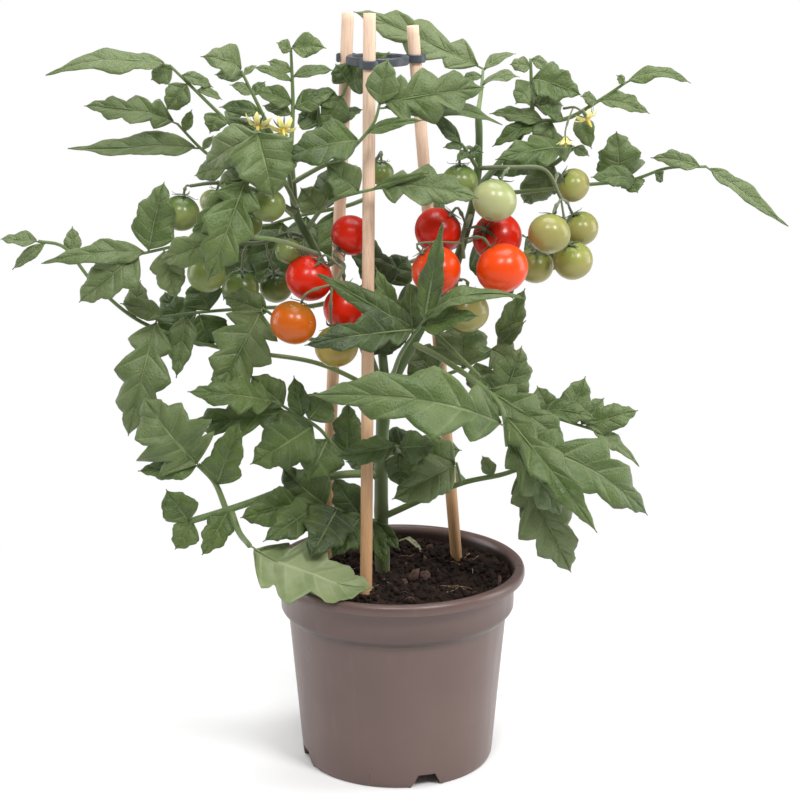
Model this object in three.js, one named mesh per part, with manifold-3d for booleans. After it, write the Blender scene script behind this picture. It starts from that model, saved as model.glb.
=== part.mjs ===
// A bushy tomato plant in a grower pot, held by three canes and a clip.
// Millimetres, +Z up, -Y is the front. The origin is on the ground, under the middle of the pot.
import * as THREE from 'three';
import { mergeVertices } from 'three/addons/utils/BufferGeometryUtils.js';
import Module from 'manifold-3d';

const wasm = await Module();
wasm.setup();

// ---- driving dimensions ----

const gap = 0.3; // clearance between pieces that touch
const soilLevel = 140;
const soilRoom = 0.6; // between the soil and the pot's wall

const pot = {
  height: 150, wall: 1.6, floor: 2, sides: 28,
  lipRadius: 95, lipHeight: 9, // rolled lip
  bandRadius: 87, bandBottom: 119, // straight band under the lip
  shoulderRadius: 81.5, shoulderBottom: 113, // slope from the band to the taper
  baseRadius: 72, heel: 6, // rounded edge at the ground
};
const drain = { count: 4, firstAngle: -72.5, bottomWidth: 24, topWidth: 13, height: 10, inner: 40, hole: 4 };

const caneRadius = 4.5;
const canes = { // where each leaves the soil, and its top
  cane_front: { low: [-23, -40, soilLevel], top: [-19, -15, 556] },
  cane_right: { low: [45, 38, soilLevel], top: [11, 27, 544] },
  cane_left: { low: [-55, 34, soilLevel], top: [-35, 30, 553] },
};
const caneFoot = 60; // height of the canes' lower ends, deep in the soil

const clip = { height: 521, thickness: 6, centre: [-14, 13], ringRadius: 20, ringWidth: 5, collarWall: 2.3, mouth: 1.9 };

const bladeThickness = 0.7;
const shortestLeaflet = 30; // smaller ones are left out
const rachisSides = 3;
const mainRachis = [1.9, 1]; // radii of a leaf's stalk at its foot and its end
const sideRachis = [1.3, 0.9];

// ---- materials ----

const finish = (color, roughness) => new THREE.MeshStandardMaterial({ color, roughness, metalness: 0 });
const finishes = {
  pot: finish(0x7d6b68, 0.5),
  soil: finish(0x2c1f19, 0.95),
  cane: finish(0xdcb893, 0.7),
  clip: finish(0x4a4e52, 0.45),
  stem: finish(0x5f7a3c, 0.6),
  leaf: finish(0x4e6e3c, 0.7),
  red: finish(0xd0260f, 0.25),
  orange: finish(0xe8480f, 0.25),
  amber: finish(0xc9781c, 0.3),
  bloom: finish(0xe9d23a, 0.6),
};

// ---- solids ----

const vec = (p) => new THREE.Vector3(...p);

// Seeded random numbers from 0 to 1
function makeRandom(seed) {
  let state = seed;
  return () => {
    state = (state * 1664525 + 1013904223) % 4294967296;
    return state / 4294967296;
  };
}

function solidFrom(vertices, triangles) {
  const numbers = { numProp: 3, vertProperties: new Float32Array(vertices), triVerts: new Uint32Array(triangles) };
  return new wasm.Manifold(new wasm.Mesh(numbers));
}

// A closed three.js geometry as a solid, turned outside out if its faces point inwards
function toSolid(source) {
  let geometry = source.index ? source.toNonIndexed() : source.clone();
  geometry.deleteAttribute('normal');
  geometry.deleteAttribute('uv');
  geometry = mergeVertices(geometry, 1e-3);
  const index = geometry.index.array;
  const triangles = [];
  for (let i = 0; i < index.length; i += 3) {
    const [a, b, c] = [index[i], index[i + 1], index[i + 2]];
    if (a !== b && b !== c && c !== a) triangles.push(a, b, c);
  }
  const solid = solidFrom(geometry.attributes.position.array, triangles);
  if (solid.volume() > 0) return solid;
  return solidFrom(geometry.attributes.position.array, triangles.reverse());
}

function toGeometry(solid) {
  const mesh = solid.getMesh();
  const geometry = new THREE.BufferGeometry();
  geometry.setAttribute('position', new THREE.BufferAttribute(Float32Array.from(mesh.vertProperties), 3));
  geometry.setIndex(Array.from(mesh.triVerts));
  geometry.computeVertexNormals();
  return geometry;
}

const smallestDetail = 0.1; // a joined solid is simplified by up to this much

const join = (solids) => solids.reduce((all, one) => all.add(one));

// The one piece with the most material, where a cut leaves scraps, without needless facets
const largest = (solid) => solid.asOriginal().setTolerance(smallestDetail).decompose()
  .sort((a, b) => b.volume() - a.volume())[0];

// A solid of revolution about +Z from [radius, height] points
function turned(points, sides) {
  const profile = points.map(([radius, height]) => new THREE.Vector2(radius, height));
  return new THREE.LatheGeometry(profile, sides).rotateX(Math.PI / 2);
}

function rodBetween(low, high, radius, sides) {
  const along = vec(high).sub(vec(low));
  const rod = new THREE.CylinderGeometry(radius, radius, along.length(), sides);
  const turn = new THREE.Quaternion().setFromUnitVectors(new THREE.Vector3(0, 1, 0), along.clone().normalize());
  const middle = vec(low).addScaledVector(along, 0.5);
  return toSolid(rod.applyQuaternion(turn).translate(...middle));
}

// A stalk along smooth points, thinning from one radius to the other, both ends lengthened by extra
function stalk(points, startRadius, endRadius, sides, steps, extra = 0) {
  const curve = new THREE.CatmullRomCurve3(points.map(vec), false, 'centripetal');
  const frames = curve.computeFrenetFrames(steps, false);
  const vertices = [];
  const triangles = [];
  for (let step = 0; step <= steps; step++) {
    const overrun = step === 0 ? -extra : step === steps ? extra : 0;
    const centre = curve.getPointAt(step / steps).addScaledVector(frames.tangents[step], overrun);
    const radius = THREE.MathUtils.lerp(startRadius, endRadius, step / steps);
    for (let side = 0; side < sides; side++) {
      const angle = (2 * Math.PI * side) / sides;
      const point = centre.clone()
        .addScaledVector(frames.normals[step], radius * Math.cos(angle))
        .addScaledVector(frames.binormals[step], radius * Math.sin(angle));
      vertices.push(...point);
    }
  }
  for (let step = 0; step < steps; step++) {
    for (let side = 0; side < sides; side++) {
      const a = step * sides + side;
      const b = step * sides + ((side + 1) % sides);
      triangles.push(a, b, b + sides, a, b + sides, a + sides);
    }
  }
  const last = steps * sides;
  for (let side = 1; side < sides - 1; side++) {
    triangles.push(0, side + 1, side, last, last + side, last + side + 1);
  }
  const solid = solidFrom(vertices, triangles);
  return solid.volume() > 0 ? solid : solidFrom(vertices, triangles.reverse());
}

// A thin star of pointed lobes. place(reach, angle, rise) gives the point for a corner of it, and
// corners are tips and notches in turn, each [reach, rise] by its number.
function star(place, tips, corner, thickness) {
  const corners = 2 * tips;
  const vertices = [];
  for (const layer of [0, thickness]) {
    for (let i = 0; i < corners; i++) {
      const [reach, rise] = corner(i);
      vertices.push(...place(reach, (2 * Math.PI * i) / corners, rise + layer));
    }
  }
  const triangles = [];
  const bothFaces = (a, b, c) => triangles.push(a, c, b, a + corners, b + corners, c + corners);
  for (let i = 0; i < corners; i += 2) bothFaces(i, i + 1, (i + corners - 1) % corners);
  for (let i = 3; i < corners - 1; i += 2) bothFaces(1, i, i + 2);
  for (let i = 0; i < corners; i++) {
    const next = (i + 1) % corners;
    triangles.push(i, next, next + corners, i, next + corners, i + corners);
  }
  return solidFrom(vertices, triangles);
}

// ---- the plant's solids, placed one after another ----

const plant = new THREE.Group();
plant.name = 'tomato_plant_in_a_pot';
const placed = []; // solids that the leaflets keep clear of, each with the leaf that it belongs to

function keepClearOf(solid, owner = null) {
  placed.push({ solid, box: solid.boundingBox(), owner });
}

function boxesMeet(a, b, margin) {
  return [0, 1, 2].every((k) => a.min[k] - margin < b.max[k] && b.min[k] - margin < a.max[k]);
}

const crossing = (solid, others) => others.reduce((sum, other) => sum + solid.intersect(other).volume(), 0);

function isClear(solid, owner) {
  const box = solid.boundingBox();
  return placed.every((other) => other.owner === owner || !boxesMeet(box, other.box, gap)
    || solid.minGap(other.solid, 2 * gap) > gap);
}

function addNode(name, solid, material) {
  const mesh = new THREE.Mesh(toGeometry(solid), material.clone());
  mesh.name = name;
  plant.add(mesh);
}

// ---- pot ----

const innerBand = pot.bandRadius - pot.wall;
const innerShoulder = pot.shoulderRadius - pot.wall;
const innerBase = pot.baseRadius - pot.wall;

function potShell() {
  const heelTop = pot.heel;
  const outside = [
    [0, 0],
    [pot.baseRadius - pot.heel * 0.5, 0],
    [pot.baseRadius, heelTop],
    [pot.shoulderRadius, pot.shoulderBottom],
    [pot.bandRadius, pot.bandBottom],
    [pot.bandRadius + 0.4, pot.height - pot.lipHeight],
    [pot.lipRadius - 0.6, pot.height - pot.lipHeight + 1],
    [pot.lipRadius, pot.height - 3],
    [pot.lipRadius - 2.2, pot.height],
  ];
  const inside = [
    [pot.bandRadius + 3.2, pot.height - 0.4],
    [innerBand, pot.height - pot.lipHeight - 2],
    [innerBand, pot.bandBottom],
    [innerShoulder, pot.shoulderBottom],
    [innerBase, pot.floor],
    [0, pot.floor],
  ];
  return toSolid(turned([...outside, ...inside], pot.sides));
}

// A drain channel: a trapezoid run from near the middle to the wall
function channel(angle, start, end, grow) {
  const shape = new THREE.Shape([
    new THREE.Vector2(-drain.bottomWidth / 2 - grow, -1),
    new THREE.Vector2(drain.bottomWidth / 2 + grow, -1),
    new THREE.Vector2(drain.topWidth / 2 + grow, drain.height + grow),
    new THREE.Vector2(-drain.topWidth / 2 - grow, drain.height + grow),
  ]);
  const run = new THREE.ExtrudeGeometry(shape, { depth: end - start, bevelEnabled: false });
  const turn = new THREE.Matrix4().makeBasis(
    new THREE.Vector3(-Math.sin(angle), Math.cos(angle), 0),
    new THREE.Vector3(0, 0, 1),
    new THREE.Vector3(Math.cos(angle), Math.sin(angle), 0),
  );
  return toSolid(run.applyMatrix4(turn).translate(start * Math.cos(angle), start * Math.sin(angle), 0));
}

const drainAngles = Array.from({ length: drain.count }, (_, i) =>
  THREE.MathUtils.degToRad(drain.firstAngle + (360 / drain.count) * i));

function potSolid() {
  const midWall = pot.baseRadius - pot.wall / 2;
  const toMidWall = [[0, 0], [midWall - pot.heel / 2, 0], [midWall, pot.heel], [midWall, 20], [0, 20]];
  const insideOfPot = toSolid(turned(toMidWall, pot.sides));
  let shell = potShell();
  for (const angle of drainAngles) {
    shell = shell.add(channel(angle, drain.inner - pot.wall, innerBase + 5, pot.wall).intersect(insideOfPot));
  }
  for (const angle of drainAngles) {
    shell = shell.subtract(channel(angle, drain.inner, pot.baseRadius + 10, 0));
    const holeRadius = (drain.inner + innerBase) / 2;
    const [x, y] = [holeRadius * Math.cos(angle), holeRadius * Math.sin(angle)];
    shell = shell.subtract(rodBetween([x, y, drain.height - 2], [x, y, drain.height + 4], drain.hole, 8));
  }
  return largest(shell);
}

// ---- canes ----

// The point of a cane at a height
function caneAt(cane, height) {
  const share = (height - cane.low[2]) / (cane.top[2] - cane.low[2]);
  return vec(cane.low).lerp(vec(cane.top), share).toArray();
}

const caneRod = (cane, grow) => rodBetween(caneAt(cane, caneFoot - grow), cane.top, caneRadius + grow, 12);

// ---- clip near the cane tops ----

function flatPiece(shape) {
  const piece = new THREE.ExtrudeGeometry(shape, { depth: clip.thickness, bevelEnabled: false, curveSegments: 7 });
  return toSolid(piece.translate(0, 0, clip.height - clip.thickness / 2));
}

function clipSolid() {
  const [cx, cy] = clip.centre;
  const ring = new THREE.Shape();
  ring.absarc(cx, cy, clip.ringRadius + clip.ringWidth / 2, 0, 2 * Math.PI);
  const hole = new THREE.Path();
  hole.absarc(cx, cy, clip.ringRadius - clip.ringWidth / 2, 0, 2 * Math.PI);
  ring.holes.push(hole);
  let solid = flatPiece(ring);
  const inner = caneRadius + gap + 0.3;
  const outer = inner + clip.collarWall;
  for (const cane of Object.values(canes)) {
    const [x, y] = caneAt(cane, clip.height);
    const facing = Math.atan2(y - cy, x - cx) + clip.mouth; // the way the snap-in mouth opens
    const halfMouth = 0.75;
    const collar = new THREE.Shape();
    collar.absarc(x, y, outer, facing + halfMouth, facing - halfMouth + 2 * Math.PI);
    collar.absarc(x, y, inner, facing - halfMouth + 2 * Math.PI, facing + halfMouth, true);
    const caneRoom = new THREE.Shape().absarc(x, y, inner, 0, 2 * Math.PI);
    solid = solid.add(flatPiece(collar)).subtract(flatPiece(caneRoom));
  }
  return largest(solid);
}

// ---- main stem ----

const stemBranches = {
  trunk: { path: [[-10, 12, 112], [-11, 12, 140], [-12, 10, 196], [-11, 10, 250], [-8, 12, 292]], start: 5.6, end: 4.6 },
  left: { path: [[-9, 11, 270], [-26, 22, 315], [-47, 20, 356], [-62, 6, 391], [-72, -3, 414], [-76, 0, 452]],
    start: 4.2, end: 2.6 },
  right: { path: [[-9, 12, 276], [18, 6, 330], [39, 2, 368], [52, 0, 412], [57, 0, 441], [58, 0, 466], [57, 0, 488]],
    start: 4.2, end: 2.4 },
  topRight: { path: [[55, 1, 428], [72, 16, 446], [88, 24, 464], [97, 26, 485]], start: 2.6, end: 1.8 },
  back: { path: [[-8, 12, 276], [-14, 44, 325], [-22, 66, 374], [-22, 78, 412], [-20, 82, 434]], start: 3.6, end: 2 },
};

const stemSolid = (grow) => join(Object.values(stemBranches).map(({ path, start, end }) =>
  stalk(path, start + grow, end + grow, 5, path.length + 1, grow)));

// ---- soil ----

function soilSolid(stemRoom) {
  const top = [[0, 0], [26, 1], [54, 0], [innerBand - 6, 0]];
  const profile = [
    [0, pot.floor + gap],
    [innerBase - soilRoom, pot.floor + gap],
    [innerShoulder - soilRoom, pot.shoulderBottom],
    [innerBand - soilRoom, pot.bandBottom],
    [innerBand - soilRoom, soilLevel - 4],
    ...top.map(([radius, rise]) => [radius, soilLevel + rise]).reverse(),
  ];
  const geometry = mergeVertices(turned(profile, pot.sides).deleteAttribute('normal').deleteAttribute('uv'), 1e-3);
  const random = makeRandom(11);
  const position = geometry.attributes.position;
  for (let i = 0; i < position.count; i++) {
    if (position.getZ(i) > soilLevel - 3) position.setZ(i, position.getZ(i) + (random() - 0.5) * 6);
  }
  let soil = toSolid(geometry);
  const channelRoom = pot.wall + soilRoom;
  for (const angle of drainAngles) {
    soil = soil.subtract(channel(angle, drain.inner - channelRoom, pot.lipRadius, channelRoom));
  }
  for (const cane of Object.values(canes)) soil = soil.subtract(caneRod(cane, gap));
  return largest(soil.subtract(stemRoom));
}

// ---- tomatoes and their trusses ----

// Each truss: the route of its stalk, and its fruit as [x, y, z, radius, finish or none, way the stalk end faces].
// Fruit without a finish is green and stays in one piece with its stalk.
const trusses = {
  truss_ripe_right: { route: [[53, 0, 413], [50, -12, 409], [46, -26, 400], [47, -27, 386]], fruit: {
    tomato_red_1: [29, -17, 404, 17, 'red', [0.6, -0.2, 0.8]],
    tomato_red_2: [71, -9, 398, 18, 'red', [-0.5, -0.7, 0.4]],
    tomato_orange_1: [73, -47, 383, 18.5, 'orange', [-0.5, 0.3, 0.8]],
    tomato_orange_2: [27, -45, 381, 17.6, 'orange', [-0.6, -0.1, 0.8]] } },
  truss_green_right: { route: [[57, 0, 446], [80, -16, 449], [104, -14, 447], [116, -10, 426]], fruit: {
    pale: [68, -36, 429, 15.6, null, [0.3, 0.5, 0.8]],
    olive: [107, -28, 404, 15, null, [0.2, 0.5, 0.8]],
    low: [126, -3, 380, 14.3, null, [-0.3, -0.3, 0.9]],
    back: [133, 20, 399, 13, null, [-0.5, -0.2, 0.9]],
    inner: [100, 14, 373, 13.5, null, [0.1, -0.5, 0.9]],
    upper: [126, 12, 432, 12.3, null, [-0.7, -0.4, 0.6]] } },
  truss_green_up: { route: [[57, 0, 456], [50, -8, 462], [46, -12, 458]], fruit: {
    up: [44, -15, 439, 13, null, [0, 0, 1]] } },
  truss_green_low: { route: [[30, 4, 350], [38, -8, 366], [46, -14, 368]], fruit: {
    low: [50, -17, 346, 15.7, null, [0, 0.2, 1]] } },
  truss_ripe_left: { route: [[-53, 14, 371], [-44, 4, 378], [-38, -16, 377], [-46, -30, 368]], fruit: {
    tomato_red_3: [-63, -12, 369, 17, 'red', [0.5, -0.3, 0.8]],
    tomato_red_4: [-33, -3, 398, 15, 'red', [-0.5, -0.3, -0.5]],
    tomato_red_5: [-36, -6, 346, 17.5, 'red', [-0.1, -0.2, 1]],
    tomato_orange_3: [-73, -46, 344, 16.4, 'amber', [0.4, 0.3, 0.9]],
    tomato_amber: [-43, -42, 326, 15.5, 'amber', [-0.2, 0.5, 0.8]] } },
  truss_green_left: { route: [[-72, -5, 415], [-104, -14, 434], [-128, -16, 438], [-146, -17, 436]], fruit: {
    far: [-153, -18, 417, 13.6, null, [0.2, 0, 1]],
    front: [-90, -34, 425, 12.1, null, [-0.2, 0.5, 0.9]],
    inner: [-107, -14, 408, 11.5, null, [0, 0.1, 1]],
    pale: [-131, -2, 422, 10, null, [0.3, 0.1, 1]] } },
  truss_green_left_low: { route: [[-63, 5, 394], [-78, 10, 397], [-100, 6, 391], [-128, 0, 393]], fruit: {
    near: [-78, -8, 388, 9.4, null, [0.1, 0.7, 0.6]],
    middle: [-114, 12, 357, 13.6, null, [0.1, -0.1, 1]],
    inner: [-89, 25, 355, 12.3, null, [-0.1, -0.4, 0.9]],
    far: [-137, -6, 371, 14, null, [0.2, 0.2, 1]] } },
  truss_green_high: { route: [[-20, 81, 424], [-17, 76, 438], [-12, 68, 448]], fruit: {
    high: [-12, 62, 433, 9.5, null, [0, 0.1, 1]] } },
  truss_green_back: { route: [[-18, 57, 352], [-6, 66, 356], [10, 74, 364], [22, 79, 367]], fruit: {
    back: [28, 84, 350, 13, null, [0, -0.2, 1]] } },
};

const sepals = 5;
const sepalThickness = 0.7;

// A fruit: slightly flattened, with a dimple where its stalk joins it
function tomato(centre, radius, axis) {
  const sides = 8;
  const profile = [[0, -0.93], [0.64, -0.74], [1, -0.12], [0.86, 0.54], [0.28, 0.82], [0, 0.72]];
  const body = turned(profile.map(([r, z]) => [r * radius, z * radius]), sides);
  const turn = new THREE.Quaternion().setFromUnitVectors(new THREE.Vector3(0, 0, 1), axis);
  return toSolid(body.applyQuaternion(turn).translate(...centre));
}

// The pedicel from the truss stalk to a fruit, with its calyx spread over the fruit's shoulder
function pedicelWithCalyx(from, centre, radius, axis, sinks) {
  const turn = new THREE.Quaternion().setFromUnitVectors(new THREE.Vector3(0, 0, 1), axis);
  const onFruit = (reach, angle, rise) => new THREE.Vector3(reach * Math.cos(angle), reach * Math.sin(angle), rise)
    .multiplyScalar(radius).applyQuaternion(turn).add(vec(centre)).toArray();
  const rest = 0.84 + (gap + sepalThickness) / radius; // just above the dimple's rim
  const end = sinks ? 0.55 : rest;
  const pedicel = stalk([from, onFruit(0, 0, 1.3), onFruit(0, 0, end)], 1, 1.2, 4, 3);
  const turned = radius; // each fruit's calyx is turned differently
  const corner = (i) => (i % 2 ? [0.24, rest + 0.03] : [0.66, rest + 0.18 + 0.14 * Math.sin(3 * i + radius)]);
  const calyx = star((reach, angle, rise) => onFruit(reach, angle + turned, rise), sepals, corner, sepalThickness / radius);
  return pedicel.add(calyx);
}

function nearestOn(route, point) {
  const curve = new THREE.CatmullRomCurve3(route.map(vec), false, 'centripetal');
  const samples = curve.getSpacedPoints(20).slice(5);
  return samples.sort((a, b) => a.distanceTo(point) - b.distanceTo(point))[0];
}

function addTruss(name, { route, fruit }, stemRoom) {
  let green = stalk(route, 1.7, 1.2, 5, route.length + 1).subtract(stemRoom);
  const loose = [];
  for (const [fruitName, [x, y, z, radius, colour, faces]] of Object.entries(fruit)) {
    const axis = vec(faces).normalize();
    const top = vec([x, y, z]).addScaledVector(axis, radius * 1.3);
    const from = nearestOn(route, top).toArray();
    green = green.add(pedicelWithCalyx(from, [x, y, z], radius, axis, !colour));
    const body = tomato([x, y, z], radius, axis);
    if (colour) loose.push([fruitName, body, finishes[colour]]);
    else green = green.add(body);
  }
  addNode(name, largest(green), finishes.stem);
  keepClearOf(green);
  for (const [fruitName, body, material] of loose) {
    addNode(fruitName, body, material);
    keepClearOf(body);
  }
}

// ---- leaves ----

// Half widths along a leaflet, as [share of its length, share of its half width]: lobes and the notches between them
const outlines = {
  large: [[0, 0.07], [0.17, 0.8], [0.3, 0.56], [0.44, 1], [0.62, 0.52], [0.73, 0.55]],
  medium: [[0, 0.1], [0.33, 0.94], [0.64, 0.76]],
  small: [[0, 0.14], [0.38, 1], [0.72, 0.6]],
};
const outlineFor = (length) => (length > 60 ? outlines.large : length > 36 ? outlines.medium : outlines.small);
const smallCrossing = 2; // mm3 that two leaflets of one leaf may share at their feet
const lobeLead = 0.05; // lobes point forward by this share of the length

// A thin leaflet from its foot to its tip. The rib arches, and the halves fold up from it.
function leaflet(foot, tip, width, upDegrees, arch, random) {
  const chord = vec(tip).sub(vec(foot));
  const length = chord.length();
  const along = chord.clone().normalize();
  const facing = THREE.MathUtils.degToRad(upDegrees);
  const up = new THREE.Vector3(0, -Math.sin(facing), Math.cos(facing));
  up.addScaledVector(along, -up.dot(along)).normalize();
  up.applyAxisAngle(along, (random() - 0.5) * 0.5);
  const side = along.clone().cross(up);
  const fold = 0.1 + 0.25 * random();
  const half = width / 2;
  const rows = outlineFor(length);
  const vertices = [];
  const put = (share, across, rise, layer) => vertices.push(...vec(foot)
    .addScaledVector(along, length * share)
    .addScaledVector(side, across)
    .addScaledVector(up, 4 * arch * length * share * (1 - share) + rise + layer * bladeThickness / 2));
  const rowShapes = rows.map(([share, reach], i) => {
    const left = half * reach * (0.92 + 0.16 * random());
    const right = half * reach * (0.92 + 0.16 * random());
    const wave = (i % 2 ? -1 : 1) * 0.04 * half;
    return { share, left, right, wave, lead: share > 0 ? lobeLead * reach : 0 };
  });
  for (const { share, left, right, wave, lead } of rowShapes) {
    for (const layer of [1, -1]) {
      put(share + lead, -left, fold * left + wave, layer);
      put(share, 0, 0, layer);
      put(share + lead, right, fold * right - wave, layer);
    }
  }
  put(1, 0, 0, 0);
  return solidFrom(vertices, bladeTriangles(rows.length));
}

// Rows of six points: left, rib and right on the upper face, then the same on the underside, and last the tip
function bladeTriangles(rowCount) {
  const triangles = [];
  const face = (a, b, c) => triangles.push(a, b, c);
  const quad = (a, b, c, d) => {
    face(a, b, c);
    face(a, c, d);
  };
  for (let row = 0; row < rowCount - 1; row++) {
    const [l, m, r, lb, mb, rb] = [0, 1, 2, 3, 4, 5].map((k) => 6 * row + k);
    quad(m, r, r + 6, m + 6);
    quad(m, m + 6, l + 6, l);
    face(mb, rb + 6, rb);
    face(mb, mb + 6, rb + 6);
    face(mb, lb + 6, mb + 6);
    face(mb, lb, lb + 6);
    quad(r, rb, rb + 6, r + 6);
    quad(l, l + 6, lb + 6, lb);
  }
  quad(1, 4, 5, 2);
  quad(1, 0, 3, 4);
  const [l, m, r, lb, mb, rb] = [0, 1, 2, 3, 4, 5].map((k) => 6 * (rowCount - 1) + k);
  const tip = 6 * rowCount;
  face(m, r, tip);
  face(m, tip, l);
  face(mb, tip, rb);
  face(mb, lb, tip);
  face(r, rb, tip);
  face(l, tip, lb);
  return triangles;
}

// Ways to bend a leaflet that would touch another piece: turns about its side and about its face, in degrees
const bends = [[0, 0], [12, 0], [-12, 0], [0, 14], [0, -14], [24, 0], [-24, 0], [14, 18], [-14, -18], [-14, 18],
  [14, -18], [36, 0], [-36, 0], [0, 32], [0, -32], [50, 0], [-50, 0], [30, 30], [-30, -30], [-30, 30], [30, -30]];

function bentTip(foot, tip, upDegrees, [pitch, yaw]) {
  const chord = vec(tip).sub(vec(foot));
  const facing = THREE.MathUtils.degToRad(upDegrees);
  const up = new THREE.Vector3(0, -Math.sin(facing), Math.cos(facing));
  const side = chord.clone().cross(up).normalize();
  chord.applyAxisAngle(side, THREE.MathUtils.degToRad(pitch));
  chord.applyAxisAngle(up, THREE.MathUtils.degToRad(yaw));
  return vec(foot).add(chord).toArray();
}

function clearLeaflet(foot, [, tip, width, upDegrees, arch], seed, owner, neighbours) {
  let second = null;
  for (const bend of bends) {
    const solid = leaflet(foot, bentTip(foot, tip, upDegrees, bend), width, upDegrees, arch, makeRandom(seed));
    if (!isClear(solid, owner)) continue;
    if (crossing(solid, neighbours) < smallCrossing) return solid;
    second = second ?? solid;
  }
  return second;
}

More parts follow.
